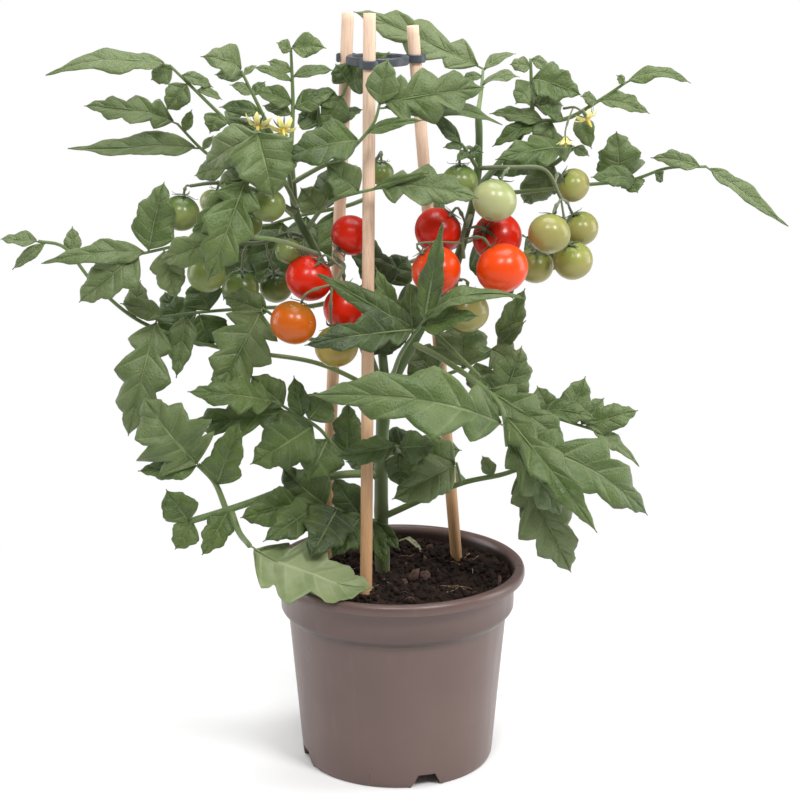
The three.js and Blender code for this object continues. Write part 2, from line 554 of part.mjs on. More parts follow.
// Each leaf: arms of its stalk, and their leaflets as
// [share along the arm, tip, width, degrees its face is turned from up to the front, arch].
const leaves = {
  leaf_front_big: [
    { path: [[11,7,317],[38,-22,308],[73,-44,283],[78,-58,257]], thick: [2.4, 1.9], leaflets: [
      [.88, [-61,-80,300], 48, 56, .27],
      [.97, [179,-56,205], 43, 60, .24],
      [.95, [120,-66,205], 33, 72, .12],
      [.80, [143,-54,193], 26, 80, .15],
      [.60, [121,-40,252], 34, 62, .10],
    ] },
  ],
  leaf_drape: [
    { path: [[-75,-2,426],[-77,-22,449],[-82,-46,468],[-97,-46,479]], leaflets: [
      [1, [-85,-56,434], 48, 78, .14],
      [.95, [-134,-34,453], 30, 65, .12],
    ] },
  ],
  leaf_grey_drape: [
    { path: [[-72,-5,420],[-79,-26,439],[-89,-44,450],[-103,-54,449]], leaflets: [
      [1, [-131,-62,377], 38, 82, .08],
      [.90, [-128,-40,441], 24, 62, .10],
      [.97, [-147,-56,405], 21, 65, .10],
    ] },
  ],
  leaf_front_centre: [
    { path: [[-4,11,289],[3,-24,317],[19,-60,349]], leaflets: [
      [1, [31,-74,420], 18, 88, .08],
      [.98, [84,-74,375], 16, 42, .24],
      [.85, [-64,-78,335], 27, 62, .10],
      [.80, [-54,-84,368], 21, 62, .10],
      [.60, [-15,-40,382], 22, 74, .10],
      [.90, [56,-70,354], 20, 62, .10],
      [.75, [9,-56,372], 18, 76, .10],
    ] },
  ],
  leaf_low_left: [
    { path: [[-11,10,216],[-43,4,217],[-78,-8,211],[-108,-16,202],[-126,-20,197],[-152,-24,190]], thick: [3.2, 2.5], leaflets: [
      [1, [-168,-28,216], 28, 76, .10],
      [.98, [-163,-26,169], 21, 80, .10],
      [.80, [-143,-30,166], 22, 84, .08],
    ] },
    { path: [[-125,-20,197],[-133,-26,221],[-144,-30,235]], thick: [2.4, 1.8], leaflets: [
      [1, [-180,-44,289], 58, 78, .10],
      [.98, [-187,-36,232], 19, 70, .05],
      [.50, [-113,-34,269], 28, 84, .08],
    ] },
    { path: [[-122,-19,197],[-116,-30,185],[-106,-58,183]], thick: [2.6, 2.0], leaflets: [
      [1, [-17,-80,159], 69, 205, .10],
    ] },
  ],
  leaf_dark: [
    { path: [[-76,-1,435],[-56,-22,449],[-36,-36,461],[-16,-44,484],[-12,-44,497]], leaflets: [
      [1, [60,-34,507], 40, 76, .06],
      [.99, [-6,-42,528], 24, 64, .10],
      [.97, [78,-30,491], 17, 50, .10],
      [.72, [-78,-52,460], 31, 54, .12],
      [.78, [18,-54,487], 10, 60, .10],
    ] },
  ],
  leaf_far_right: [
    { path: [[55,0,429],[87,36,423],[140,34,429],[170,24,434],[194,14,444],[221,8,446]], leaflets: [
      [1, [280,0,404], 16, 40, .01],
      [.98, [181,10,452], 14, 55, .12],
      [.66, [157,18,470], 36, 76, .08],
      [.72, [135,10,435], 18, 62, .10],
      [.70, [173,14,426], 19, 80, .10],
      [.80, [192,22,433], 9, 60, .10],
    ] },
  ],
  leaf_left_hanging: [
    { path: [[-42,21,346],[-64,26,340],[-101,48,334],[-141,16,338],[-174,2,337]], leaflets: [
      [1, [-196,-14,252], 41, 74, .14],
      [.86, [-161,-4,293], 20, 80, .08],
      [.97, [-202,2,345], 17, 55, .10],
      [.80, [-137,20,310], 32, 78, .10],
      [.74, [-148,28,360], 29, 76, .10],
    ] },
  ],
  leaf_mid_hanging: [
    { path: [[-30,21,323],[-62,8,319],[-97,-8,346]], leaflets: [
      [1, [-130,-26,287], 48, 82, .10],
      [.92, [-125,8,349], 22, 66, .10],
    ] },
  ],
  leaf_top: [
    { path: [[57,0,486],[60,20,499],[62,42,512]], leaflets: [
      [1, [-32,64,551], 32, 50, .04],
      [.95, [86,50,522], 12, 30, .12],
      [.60, [87,14,509], 16, 30, .12],
      [.80, [46,30,506], 9, 40, .10],
    ] },
  ],
  leaf_behind_canes: [
    { path: [[-76,0,445],[-61,8,468],[-42,13,491],[-34,15,507]], leaflets: [
      [1, [-14,10,535], 14, 70, .10],
      [.95, [-4,6,511], 22, 64, .10],
      [.97, [-44,16,518], 19, 70, .10],
      [.80, [-66,6,495], 16, 60, .12],
      [.85, [-54,4,471], 21, 80, .10],
      [.50, [-71,20,482], 21, 62, .10],
      [.45, [-27,34,479], 15, 60, .10],
    ] },
  ],
  leaf_centre: [
    { path: [[-66,3,400],[-51,-26,423],[-40,-37,431],[-14,-40,438]], leaflets: [
      [1, [56,-40,424], 33, 54, .12],
      [.85, [-50,-46,457], 25, 72, .10],
      [.95, [25,-46,447], 7, 60, .05],
      [.40, [-68,-24,436], 23, 82, .10],
      [.55, [-37,-20,449], 16, 70, .10],
    ] },
  ],
  leaf_left_crown: [
    { path: [[-76,0,452],[-74,6,489],[-75,8,530]], leaflets: [
      [1, [-50,6,530], 19, 60, .10],
      [.97, [-85,6,534], 12, 40, .10],
      [.78, [-92,14,520], 10, 45, .10],
      [.74, [-45,12,514], 12, 45, .10],
      [.70, [-102,2,517], 10, 45, .12],
      [.50, [-101,0,500], 16, 55, .15],
      [.45, [-44,16,495], 17, 55, .12],
      [.40, [-96,12,489], 11, 50, .10],
    ] },
  ],
  leaf_upper_left: [
    { path: [[-76,0,438],[-88,-16,473],[-108,-22,517]], leaflets: [
      [1, [-135,-34,528], 25, 55, .26],
      [.96, [-98,-14,520], 6, 50, .10],
      [.95, [-127,-18,514], 11, 60, .10],
      [.80, [-116,-26,508], 10, 45, .10],
      [.78, [-92,-14,509], 10, 45, .10],
      [.62, [-124,-22,492], 12, 60, .20],
      [.40, [-121,-6,482], 13, 60, .10],
    ] },
  ],
  leaf_far_upper_left: [
    { path: [[-75,0,429],[-93,14,451],[-121,20,476],[-162,18,517]], leaflets: [
      [1, [-248,4,511], 24, 32, .11],
      [.97, [-176,22,506], 16, 75, .10],
      [.92, [-132,28,500], 12, 55, .10],
      [.86, [-165,16,485], 20, 80, .10],
      [.80, [-126,30,491], 10, 45, .10],
      [.62, [-134,12,469], 17, 80, .10],
      [.55, [-113,30,487], 14, 50, .10],
    ] },
  ],
  leaf_left_long: [
    { path: [[-68,1,406],[-101,24,429],[-139,30,453],[-159,30,474]], leaflets: [
      [1, [-225,26,487], 26, 48, .11],
      [.93, [-148,30,484], 9, 60, .10],
      [.80, [-237,20,457], 22, 40, .02],
      [.78, [-133,32,465], 7, 40, .10],
      [.60, [-148,36,435], 18, 60, .10],
    ] },
  ],
  leaf_far_left_dark: [
    { path: [[-57,10,382],[-93,-56,406],[-134,-44,402],[-180,-30,390]], leaflets: [
      [1, [-224,-40,357], 33, 64, .12],
      [.97, [-250,-36,384], 19, 50, .10],
      [.97, [-163,-8,435], 31, 76, .08],
      [.90, [-156,-34,359], 25, 76, .10],
      [.62, [-166,-44,387], 24, 72, .10],
    ] },
  ],
  leaf_far_left: [
    { path: [[-8,11,276],[-58,12,300],[-130,16,311],[-187,6,333],[-220,0,364],[-240,-2,390],[-257,-4,394]], thick: [1.9, 1.2], leaflets: [
      [1, [-284,-6,396], 17, 25, .03],
      [.98, [-277,-2,373], 9, 70, .10],
      [.90, [-234,8,403], 13, 62, .10],
      [.68, [-187,14,362], 19, 75, .10],
      [.60, [-166,8,308], 18, 66, .10],
      [.54, [-160,26,357], 31, 72, .10],
    ] },
  ],
  leaf_inner_left: [
    { path: [[-10,10,230],[-39,0,234],[-58,-12,258],[-88,-22,280]], leaflets: [
      [1, [-153,-34,287], 27, 60, .10],
      [.92, [-105,-24,300], 26, 72, .10],
      [.76, [-75,-12,297], 16, 75, .10],
      [.86, [-156,-26,264], 28, 68, .10],
      [.66, [-106,-36,237], 43, 80, .10],
      [.50, [-65,-26,222], 35, 80, .10],
      [.72, [-49,-4,280], 29, 72, .10],
      [.28, [-36,6,272], 24, 80, .10],
    ] },
  ],
  leaf_over_rim: [
    { path: [[-12,10,177],[-36,-8,192],[-71,-20,204]], leaflets: [
      [.14, [-9,-8,150], 13, 80, .10],
      [.10, [2,2,159], 12, 76, .15],
      [.20, [-26,-14,157], 12, 80, .10],
      [1, [-114,-34,196], 29, 74, .10],
      [.82, [-102,-50,180], 26, 76, .10],
      [.60, [-66,-50,165], 39, 74, .10],
      [.30, [-48,-36,166], 27, 66, .10],
      [.70, [-82,-26,227], 35, 80, .10],
      [.30, [-47,-8,218], 28, 76, .10],
    ] },
  ],
  leaf_cross_cane: [
    { path: [[-9,10,228],[1,-20,239],[0,-46,254]], leaflets: [
      [1, [-43,-50,247], 20, 72, .10],
      [.70, [2,-44,222], 24, 74, .10],
      [.90, [28,-44,253], 23, 70, .10],
    ] },
  ],
  leaf_low_right: [
    { path: [[-10,10,183],[24,0,202],[49,-8,215],[76,-18,224],[89,-26,231]], thick: [2.6, 1.7], leaflets: [
      [1, [127,-34,154], 43, 82, .10],
      [.97, [115,-42,174], 25, 84, .10],
      [.80, [62,-10,236], 11, 60, .10],
    ] },
    { path: [[47,-8,215],[43,-18,233]], leaflets: [
      [1, [-4,-34,210], 33, 74, .10],
      [.90, [4,-28,250], 32, 78, .10],
    ] },
  ],
  leaf_right_mid: [
    { path: [[19,6,333],[53,-4,301],[81,-18,279],[119,-24,267],[139,-26,261]], leaflets: [
      [1, [175,-28,233], 14, 30, .10],
      [.97, [174,-20,273], 22, 66, .10],
      [.88, [136,-14,297], 23, 76, .10],
      [.80, [101,-14,290], 17, 72, .10],
      [.95, [150,-14,281], 16, 72, .10],
      [.74, [139,-40,263], 21, 46, .20],
      [.55, [89,-24,322], 32, 84, .10],
      [.50, [58,-22,299], 22, 62, .10],
    ] },
  ],
  leaf_inner_right: [
    { path: [[-5,12,291],[24,20,287],[49,20,295],[75,14,314]], leaflets: [
      [1, [93,14,356], 19, 80, .10],
      [.97, [96,6,336], 12, 75, .10],
      [.92, [88,-2,302], 26, 74, .10],
      [.62, [48,30,330], 46, 80, .12],
      [.40, [11,34,308], 31, 76, .10],
      [.75, [64,20,272], 22, 72, .10],
      [.30, [30,34,265], 27, 70, .10],
    ] },
  ],
  leaf_middle: [
    { path: [[1,18,322],[-4,44,338],[-9,58,350]], leaflets: [
      [1, [8,66,370], 29, 78, .10],
      [.90, [-20,52,373], 25, 76, .10],
      [.70, [-40,52,335], 30, 74, .10],
      [.50, [29,50,340], 30, 74, .10],
      [.30, [-16,40,302], 30, 76, .10],
      [.95, [-35,60,394], 25, 76, .10],
    ] },
  ],
  leaf_right_crown: [
    { path: [[97,26,483],[96,25,503],[95,24,521]], leaflets: [
      [.62, [131,14,496], 28, 64, .12],
      [.55, [84,12,490], 20, 85, .10],
      [.85, [80,22,517], 14, 55, .10],
      [1, [108,30,512], 11, 55, .10],
      [.15, [120,36,486], 17, 70, .10],
      [.10, [88,46,458], 20, 78, .10],
    ] },
  ],
  leaf_right_upper: [
    { path: [[97,26,476],[121,18,479],[143,14,492],[162,8,506]], leaflets: [
      [1, [207,2,506], 15, 40, .20],
      [.97, [155,8,511], 8, 40, .10],
      [.68, [179,6,484], 16, 50, .14],
      [.66, [130,8,496], 13, 50, .10],
      [.45, [139,12,458], 15, 85, .12],
      [.30, [101,10,489], 14, 50, .10],
      [.12, [66,22,482], 14, 55, .10],
      [.20, [98,20,455], 19, 80, .10],
      [.08, [65,24,466], 14, 55, .10],
    ] },
  ],
  leaf_right_dark: [
    { path: [[80,20,453],[110,38,442],[127,22,458]], thick: [2.1, 1.7], leaflets: [
      [1, [69,-14,454], 26, 62, .10],
      [.98, [138,18,452], 10, 50, .10],
      [.66, [90,60,405], 27, 80, .08],
      [.40, [67,16,438], 16, 62, .10],
    ] },
  ],
  leaf_narrow_top: [
    { path: [[57,0,446],[50,-12,458],[45,-18,466]], leaflets: [
      [1, [21,-24,490], 11, 65, .08],
      [.90, [32,-24,464], 8, 50, .10],
      [.70, [41,-28,455], 8, 70, .10],
      [.60, [60,-26,461], 12, 60, .10],
    ] },
  ],
  leaf_back_right: [
    { path: [[-21,66,370],[2,92,359],[39,108,367],[79,118,379],[98,122,375]], leaflets: [
      [1, [127,124,348], 32, 60, .10],
      [.70, [90,110,327], 31, 66, .10],
      [.45, [33,124,406], 24, 62, .10],
      [.40, [52,90,339], 31, 72, .10],
    ] },
  ],
  leaf_back_left: [
    { path: [[-20,79,413],[-38,96,403],[-82,104,392],[-116,100,380]], leaflets: [
      [1, [-163,92,368], 34, 64, .10],
      [.80, [-104,116,416], 28, 64, .10],
      [.72, [-103,86,340], 43, 70, .10],
      [.86, [-134,82,333], 34, 76, .10],
      [.40, [-52,116,430], 24, 62, .10],
      [.35, [-47,88,355], 31, 72, .10],
      [.55, [-74,84,348], 27, 74, .10],
    ] },
  ],
  leaf_back_low: [
    { path: [[-10,14,218],[3,56,209],[18,92,206],[27,118,202]], leaflets: [
      [1, [43,150,162], 49, 24, .10],
      [.80, [-20,104,219], 29, 62, .10],
      [.70, [50,84,213], 29, 50, .10],
      [.40, [-40,66,209], 28, 66, .10],
    ] },
  ],};

const smoothCurve = (path) => new THREE.CatmullRomCurve3(path.map(vec), false, 'centripetal');

// The arms of a leaf's stalk, the first rooted on the main stem
const rachisSolids = (arms, stemRoom) => arms.map(({ path, thick }, i) => {
  const arm = stalk(path, ...(thick ?? (i ? sideRachis : mainRachis)), rachisSides, path.length);
  return i ? arm : largest(arm.subtract(stemRoom));
});

function addLeaf(name, arms, rachis, seed, stemRoom) {
  const blades = [];
  arms.forEach(({ path, leaflets }, armIndex) => {
    leaflets.forEach((spec, i) => {
      const foot = smoothCurve(path).getPointAt(spec[0]);
      if (vec(spec[1]).distanceTo(foot) < shortestLeaflet) return;
      const blade = clearLeaflet(foot.toArray(), spec, seed + 97 * armIndex + 13 * i, name, blades);
      if (blade) blades.push(blade);
    });
  });
  addNode(name, largest(join([...rachis, ...blades]).subtract(stemRoom)), finishes.leaf);
  blades.forEach((blade) => keepClearOf(blade, name));
}

// ---- flowers ----

// Each spray: the stalk's route, and its blooms as [share along the stalk, x, y, z, way the bloom faces]
const sprays = {
  flowers_left: { route: [[-76, 0, 447], [-80, -16, 460], [-88, -27, 476], [-93, -30, 484]], blooms: [
    [1, [-96, -35, 481], [-0.2, -0.5, -0.8]],
    [0.6, [-79, -35, 478], [0.1, -0.7, -0.5]],
    [0.45, [-72, -37, 463], [0, -0.2, -1]]] },
  flowers_right: { route: [[119, 20, 486], [126, 10, 488], [131, 2, 486]], blooms: [
    [1, [134, -3, 482], [0.4, -0.3, -0.8]],
    [0.5, [119, 0, 468], [0, -0.2, -1]]] },
};
const petals = 5;
const petalThickness = 0.7;

// An open bloom: narrow petals bent back round a cone of anthers, its stalk at the back
function bloom(centre, faces) {
  const turn = new THREE.Quaternion().setFromUnitVectors(new THREE.Vector3(0, 0, 1), vec(faces).normalize());
  const at = (reach, angle, rise) => new THREE.Vector3(reach * Math.cos(angle), reach * Math.sin(angle), rise)
    .applyQuaternion(turn).add(vec(centre)).toArray();
  const anthers = stalk([at(0, 0, -1.5), at(0, 0, 2), at(0, 0, 7)], 1.6, 0.8, 4, 1);
  return anthers.add(star(at, petals, (i) => (i % 2 ? [2.2, 0] : [9, -2.5]), petalThickness));
}

function addSpray(name, { route, blooms }, stemRoom) {
  const curve = smoothCurve(route);
  const solids = [stalk(route, 1, 0.7, 4, 5)];
  for (const [share, centre, faces] of blooms) {
    const back = vec(centre).addScaledVector(vec(faces).normalize(), -4);
    solids.push(stalk([curve.getPointAt(share).toArray(), back.toArray(), centre], 0.7, 0.6, 3, 2));
    solids.push(bloom(centre, faces));
  }
  const spray = largest(join(solids).subtract(stemRoom));
  addNode(name, spray, finishes.bloom);
  keepClearOf(spray);
}

// ---- the whole plant ----

const stem = stemSolid(0);
const stemRoom = stemSolid(gap);
const fixed = {
  pot: [potSolid(), finishes.pot],
  soil: [soilSolid(stemRoom), finishes.soil],
  ...Object.fromEntries(Object.entries(canes).map(([name, cane]) => [name, [caneRod(cane, 0), finishes.cane]])),
  cane_clip: [clipSolid(), finishes.clip],
  main_stem: [stem, finishes.stem],
};
for (const [name, [solid, material]] of Object.entries(fixed)) {
  addNode(name, solid, material);
  keepClearOf(solid);
}
Object.entries(trusses).forEach(([name, truss]) => addTruss(name, truss, stemRoom));
Object.entries(sprays).forEach(([name, spray]) => addSpray(name, spray, stemRoom));
const rachises = Object.entries(leaves).map(([name, arms]) => {
  const solids = rachisSolids(arms, stemRoom);
  solids.forEach((solid) => keepClearOf(solid, name));
  return solids;
});
Object.entries(leaves).forEach(([name, arms], i) => addLeaf(name, arms, rachises[i], 101 + 17 * i, stemRoom));

export default plant;
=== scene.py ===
# A tomato plant in a pot, finished over its frame. Metres, +Z up, -Y is the front.
import math
import random

import bpy
from mathutils import Matrix, Quaternion, Vector, noise
from mathutils.kdtree import KDTree


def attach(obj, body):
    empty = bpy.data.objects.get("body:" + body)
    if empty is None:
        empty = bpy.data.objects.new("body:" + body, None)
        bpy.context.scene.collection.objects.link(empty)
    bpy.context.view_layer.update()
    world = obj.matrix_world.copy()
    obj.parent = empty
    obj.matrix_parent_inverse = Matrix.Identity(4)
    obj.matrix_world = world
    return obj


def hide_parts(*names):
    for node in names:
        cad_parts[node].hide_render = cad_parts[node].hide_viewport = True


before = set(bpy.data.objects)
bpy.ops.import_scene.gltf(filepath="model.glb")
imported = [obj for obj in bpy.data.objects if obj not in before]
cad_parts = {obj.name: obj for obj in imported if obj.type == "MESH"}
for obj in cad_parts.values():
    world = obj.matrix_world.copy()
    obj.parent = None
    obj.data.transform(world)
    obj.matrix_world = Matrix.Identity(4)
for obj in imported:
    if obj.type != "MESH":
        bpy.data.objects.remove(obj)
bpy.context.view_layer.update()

mm = 0.001


# a mesh in the making: its points, faces, finish numbers and one mark (three numbers) for each point
class Draft:
    def __init__(self):
        self.points, self.faces, self.finishNumbers, self.marks = [], [], [], []

    def addRows(self, rows, finishNumber=0, marks=None, around=False, closeStart=False, closeEnd=False):
        first, count = len(self.points), len(rows[0])
        for i, row in enumerate(rows):
            self.points += row
            self.marks += marks[i] if marks else [(0, 0, 0)] * count
        for i in range(len(rows) - 1):
            for j in range(count if around else count - 1):
                a, b = first + i * count + j, first + i * count + (j + 1) % count
                self.faces.append((a, b, b + count, a + count))
                self.finishNumbers.append(finishNumber)
        if closeStart:
            self.faces.append(list(range(first + count - 1, first - 1, -1)))
            self.finishNumbers.append(finishNumber)
        if closeEnd:
            self.faces.append(list(range(len(self.points) - count, len(self.points))))
            self.finishNumbers.append(finishNumber)

    def build(self, name, finishes, sharpOver=None):
        mesh = bpy.data.meshes.new(name)
        mesh.from_pydata(self.points, [], self.faces)
        for finish in finishes:
            mesh.materials.append(finish)
        mesh.polygons.foreach_set("material_index", self.finishNumbers)
        mark = mesh.attributes.new("mark", "FLOAT_VECTOR", "POINT")
        mark.data.foreach_set("vector", [value for point in self.marks for value in point])
        mesh.shade_smooth()
        if sharpOver:
            mesh.set_sharp_from_angle(angle=math.radians(sharpOver))
        mesh.update()
        piece = bpy.data.objects.new(name, mesh)
        bpy.context.scene.collection.objects.link(piece)
        return piece


# the piece rides on the plant and stands for these nodes
def keepPiece(piece, slot, *nodes):
    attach(piece, "root")
    if nodes:
        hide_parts(*nodes)
    return piece


def makeRandom(seed):
    state = [seed]

    def draw():
        state[0] = (state[0] * 1664525 + 1013904223) % 4294967296
        return state[0] / 4294967296
    return draw


def lerp(a, b, share):
    return a + (b - a) * share


# the turns of so many even steps around a circle
def turnsAround(count, offset=0.0):
    return [2 * math.pi * (i + offset) / count for i in range(count)]


# the way along a route at a share of its length
def headingAt(at, share):
    return (at(min(1, share + 0.02)) - at(max(0, share - 0.02))).normalized()


# the turn that stands a thing upright on an axis
def standOn(axis):
    return Vector((0, 0, 1)).rotation_difference(axis)


# smooth route through points given in millimetres, as a function from share of its length to place
def smoothRoute(points):
    knots = [Vector(p) * mm for p in points]
    knots = [knots[0] * 2 - knots[1]] + knots + [knots[-1] * 2 - knots[-2]]
    samples = []
    for p0, p1, p2, p3 in zip(knots, knots[1:], knots[2:], knots[3:]):
        d0, d1, d2 = [max(1e-4, (b - a).length) ** 0.5 for a, b in ((p0, p1), (p1, p2), (p2, p3))]
        m1 = ((p1 - p0) / d0 - (p2 - p0) / (d0 + d1) + (p2 - p1) / d1) * d1
        m2 = ((p2 - p1) / d1 - (p3 - p1) / (d1 + d2) + (p3 - p2) / d2) * d1
        for k in range(24):
            t = k / 24
            bend, twist = 3 * (p2 - p1) - 2 * m1 - m2, 2 * (p1 - p2) + m1 + m2
            samples.append(p1 + m1 * t + bend * t ** 2 + twist * t ** 3)
    samples.append(knots[-2])
    lengths = [0.0]
    for a, b in zip(samples, samples[1:]):
        lengths.append(lengths[-1] + (b - a).length)

    def at(share):
        target = min(1, max(0, share)) * lengths[-1]
        i = next((k for k in range(1, len(lengths)) if lengths[k] >= target), len(lengths) - 1)
        step = lengths[i] - lengths[i - 1]
        return samples[i - 1].lerp(samples[i], (target - lengths[i - 1]) / step if step else 0)
    at.length = lengths[-1]
    return at


# a round stalk along a route: radius(share) in metres, each ring turned as little as it can be
def addStalk(draft, at, radius, sides, steps, finishNumber=0, tone=0.0, ribs=None):
    rows, marks = [], []
    ahead = (at(0.02) - at(0)).normalized()
    across = ahead.orthogonal().normalized()
    for i in range(steps + 1):
        share = i / steps
        way = headingAt(at, share)
        across = (across - way * across.dot(way)).normalized()
        other = way.cross(across)
        row = []
        for turn in turnsAround(sides):
            reach = radius(share) * (ribs(share, turn) if ribs else 1)
            row.append(at(share) + (across * math.cos(turn) + other * math.sin(turn)) * reach)
        rows.append(row)
        marks.append([(share, tone, j / sides) for j in range(sides)])
    draft.addRows(rows, finishNumber, marks, around=True, closeStart=True, closeEnd=True)


# a flat strip's section: across and up, as shares of half its width and half its thickness
stripSection = [(-1, 0), (-0.5, 1), (0, 1), (0.5, 1), (1, 0), (0.5, -1), (0, -1), (-0.5, -1)]


# a thin pointed strip such as a sepal or a petal, along places, with its widths and the way it faces
def addStrip(draft, spine, widths, facing, thickness, finishNumber=0, tone=0.0, cup=0.0):
    rows, marks = [], []
    for i, (place, width) in enumerate(zip(spine, widths)):
        ahead = (spine[min(i + 1, len(spine) - 1)] - spine[max(i - 1, 0)]).normalized()
        up = (facing - ahead * facing.dot(ahead)).normalized()
        side = ahead.cross(up)
        rows.append([place + side * (a * width / 2) + up * (b * thickness / 2 + cup * width * a * a)
                     for a, b in stripSection])
        marks.append([(i / (len(spine) - 1), tone, a) for a, b in stripSection])
    draft.addRows(rows, finishNumber, marks, around=True, closeStart=True, closeEnd=True)


# where the camera stands, and how far its lens looks down in degrees
view = {"place": (0.0019, -1.5, 0.671), "downward": 14.77, "lens": 95.4}
studio = {
    "skyLight": 0.24, "backdrop": 1.0,
    "floorSize": 9.0, "floorColour": (0.9, 0.9, 0.9, 1), "floorRoughness": 0.7,
    "floorFade": (0.14, 0.6),  # how far from the pot's middle the floor starts and ends to fade
    # name: place, what it faces, width and height, watts
    "lamps": {
        "frontLeft": ((-0.22, -1.25, 1.72), (0, 0, 0.4), (0.5, 0.5), 15),
        "frontRight": ((0.86, -1.12, 1.62), (0, 0, 0.4), (0.5, 0.5), 23),
        "leftWall": ((-1.7, 0.25, 0.75), (0, 0, 0.25), (0.9, 1.5), 15),
        "rightWall": ((1.7, 0.2, 0.75), (0, 0, 0.25), (0.9, 1.5), 19),
        "overhead": ((0.1, 0.2, 2.1), (0, 0, 0.4), (1.5, 1.1), 30),
    },
}


def makeCamera():
    camera = bpy.data.objects.new("camera", bpy.data.cameras.new("camera"))
    camera.data.lens = view["lens"]
    camera.location = view["place"]
    camera.rotation_euler = (math.radians(90 - view["downward"]), 0, 0)
    bpy.context.scene.collection.objects.link(camera)
    bpy.context.scene.camera = camera


def makeLamp(name, place, target, size, watts):
    lamp = bpy.data.objects.new(name, bpy.data.lights.new(name, "AREA"))
    lamp.data.shape = "RECTANGLE"
    lamp.data.size, lamp.data.size_y = size
    lamp.data.energy = watts
    lamp.location = place
    lamp.rotation_euler = (Vector(target) - Vector(place)).to_track_quat("-Z", "Y").to_euler()
    bpy.context.scene.collection.objects.link(lamp)


# a matt floor that turns into the plain white backdrop further out
def makeFloorFinish():
    finish = bpy.data.materials.new("paleFloor")
    finish.use_nodes = True
    tree = finish.node_tree
    matt = tree.nodes["Principled BSDF"]
    matt.inputs["Base Color"].default_value = studio["floorColour"]
    matt.inputs["Roughness"].default_value = studio["floorRoughness"]
    glow, either = tree.nodes.new("ShaderNodeEmission"), tree.nodes.new("ShaderNodeMixShader")
    where, far = tree.nodes.new("ShaderNodeTexCoord"), tree.nodes.new("ShaderNodeVectorMath")
    fade = tree.nodes.new("ShaderNodeMapRange")
    far.operation = "LENGTH"
    fade.inputs["From Min"].default_value, fade.inputs["From Max"].default_value = studio["floorFade"]
    tree.links.new(where.outputs["Object"], far.inputs[0])
    tree.links.new(far.outputs["Value"], fade.inputs["Value"])
    tree.links.new(fade.outputs["Result"], either.inputs[0])
    tree.links.new(matt.outputs[0], either.inputs[1])
    tree.links.new(glow.outputs[0], either.inputs[2])
    tree.links.new(either.outputs[0], tree.nodes["Material Output"].inputs["Surface"])
    return finish


def makeStudio():
    half = studio["floorSize"] / 2
    floorDraft = Draft()
    floorDraft.addRows([[(-half, -half, 0), (half, -half, 0)], [(-half, half, 0), (half, half, 0)]])
    floorDraft.build("floor", [makeFloorFinish()])
    for name, (place, target, size, watts) in studio["lamps"].items():
        makeLamp(name, place, target, size, watts)
    sky = bpy.data.worlds.new("sky")
    sky.use_nodes = True
    tree = sky.node_tree
    light, plain = tree.nodes["Background"], tree.nodes.new("ShaderNodeBackground")
    for background, strength in ((light, studio["skyLight"]), (plain, studio["backdrop"])):
        background.inputs["Color"].default_value = (1, 1, 1, 1)
        background.inputs["Strength"].default_value = strength
    seen, either = tree.nodes.new("ShaderNodeLightPath"), tree.nodes.new("ShaderNodeMixShader")
    tree.links.new(seen.outputs["Is Camera Ray"], either.inputs[0])
    tree.links.new(light.outputs[0], either.inputs[1])
    tree.links.new(plain.outputs[0], either.inputs[2])
    tree.links.new(either.outputs[0], tree.nodes["World Output"].inputs[0])
    bpy.context.scene.world = sky
    bpy.context.scene.view_settings.view_transform = "Standard"


makeCamera()
makeStudio()
print("camera and studio are set")


# a shader node with its options set and its inputs filled: a socket is linked, anything else is a value
def addNode(tree, kind, options=None, inputs=None):
    node = tree.nodes.new("ShaderNode" + kind)
    for option, value in (options or {}).items():
        setattr(node, option, value)
    for key, value in (inputs or {}).items():
        if isinstance(value, bpy.types.NodeSocket):
            tree.links.new(value, node.inputs[key])
        else:
            node.inputs[key].default_value = value
    return node


def maths(tree, operation, *values, clamp=False):
    options = {"operation": operation, "use_clamp": clamp}
    return addNode(tree, "Math", options, dict(enumerate(values))).outputs[0]


# blends two colours by a factor
def blend(tree, factor, first, second, mode="MIX"):
    node = addNode(tree, "Mix", {"data_type": "RGBA", "blend_type": mode}, {0: factor, 6: first, 7: second})
    return node.outputs[2]


# moves a value from one range to another, held inside it
def rescale(tree, value, low, high, newLow=0.0, newHigh=1.0):
    inputs = {0: value, 1: low, 2: high, 3: newLow, 4: newHigh}
    return addNode(tree, "MapRange", {"clamp": True}, inputs).outputs[0]


def placeIn(tree):
    return addNode(tree, "TexCoord").outputs["Object"]


def grainNoise(tree, scale, detail=3.0, roughness=0.5, stretch=None):
    source = placeIn(tree)
    if stretch:
        source = addNode(tree, "Mapping", None, {"Vector": source, "Scale": stretch}).outputs[0]
    inputs = {"Vector": source, "Scale": scale, "Detail": detail, "Roughness": roughness}
    return addNode(tree, "TexNoise", None, inputs).outputs[0]


def bumpOf(tree, height, strength, distance, onto=None):
    inputs = {"Height": height, "Strength": strength, "Distance": distance}
    if onto:
        inputs["Normal"] = onto
    return addNode(tree, "Bump", None, inputs).outputs[0]


# the marks that a draft holds, as separate values
def readMarks(tree):
    mark = addNode(tree, "Attribute", {"attribute_name": "mark"})
    return addNode(tree, "SeparateXYZ", None, {0: mark.outputs["Vector"]}).outputs


def colour(red, green, blue):
    shares = [channel / 255 for channel in (red, green, blue)]
    return (*[c / 12.92 if c <= 0.04045 else ((c + 0.055) / 1.055) ** 2.4 for c in shares], 1)


# an empty finish: its tree, and its shader with these values set on it
def startFinish(name, **values):
    finish = bpy.data.materials.new(name)
    finish.use_nodes = True
    tree = finish.node_tree
    shader = tree.nodes["Principled BSDF"]
    for socket, value in values.items():
        shader.inputs[socket.replace("_", " ")].default_value = value
    return finish, tree, shader


def plug(tree, source, shader, socket):
    tree.links.new(source, shader.inputs[socket])


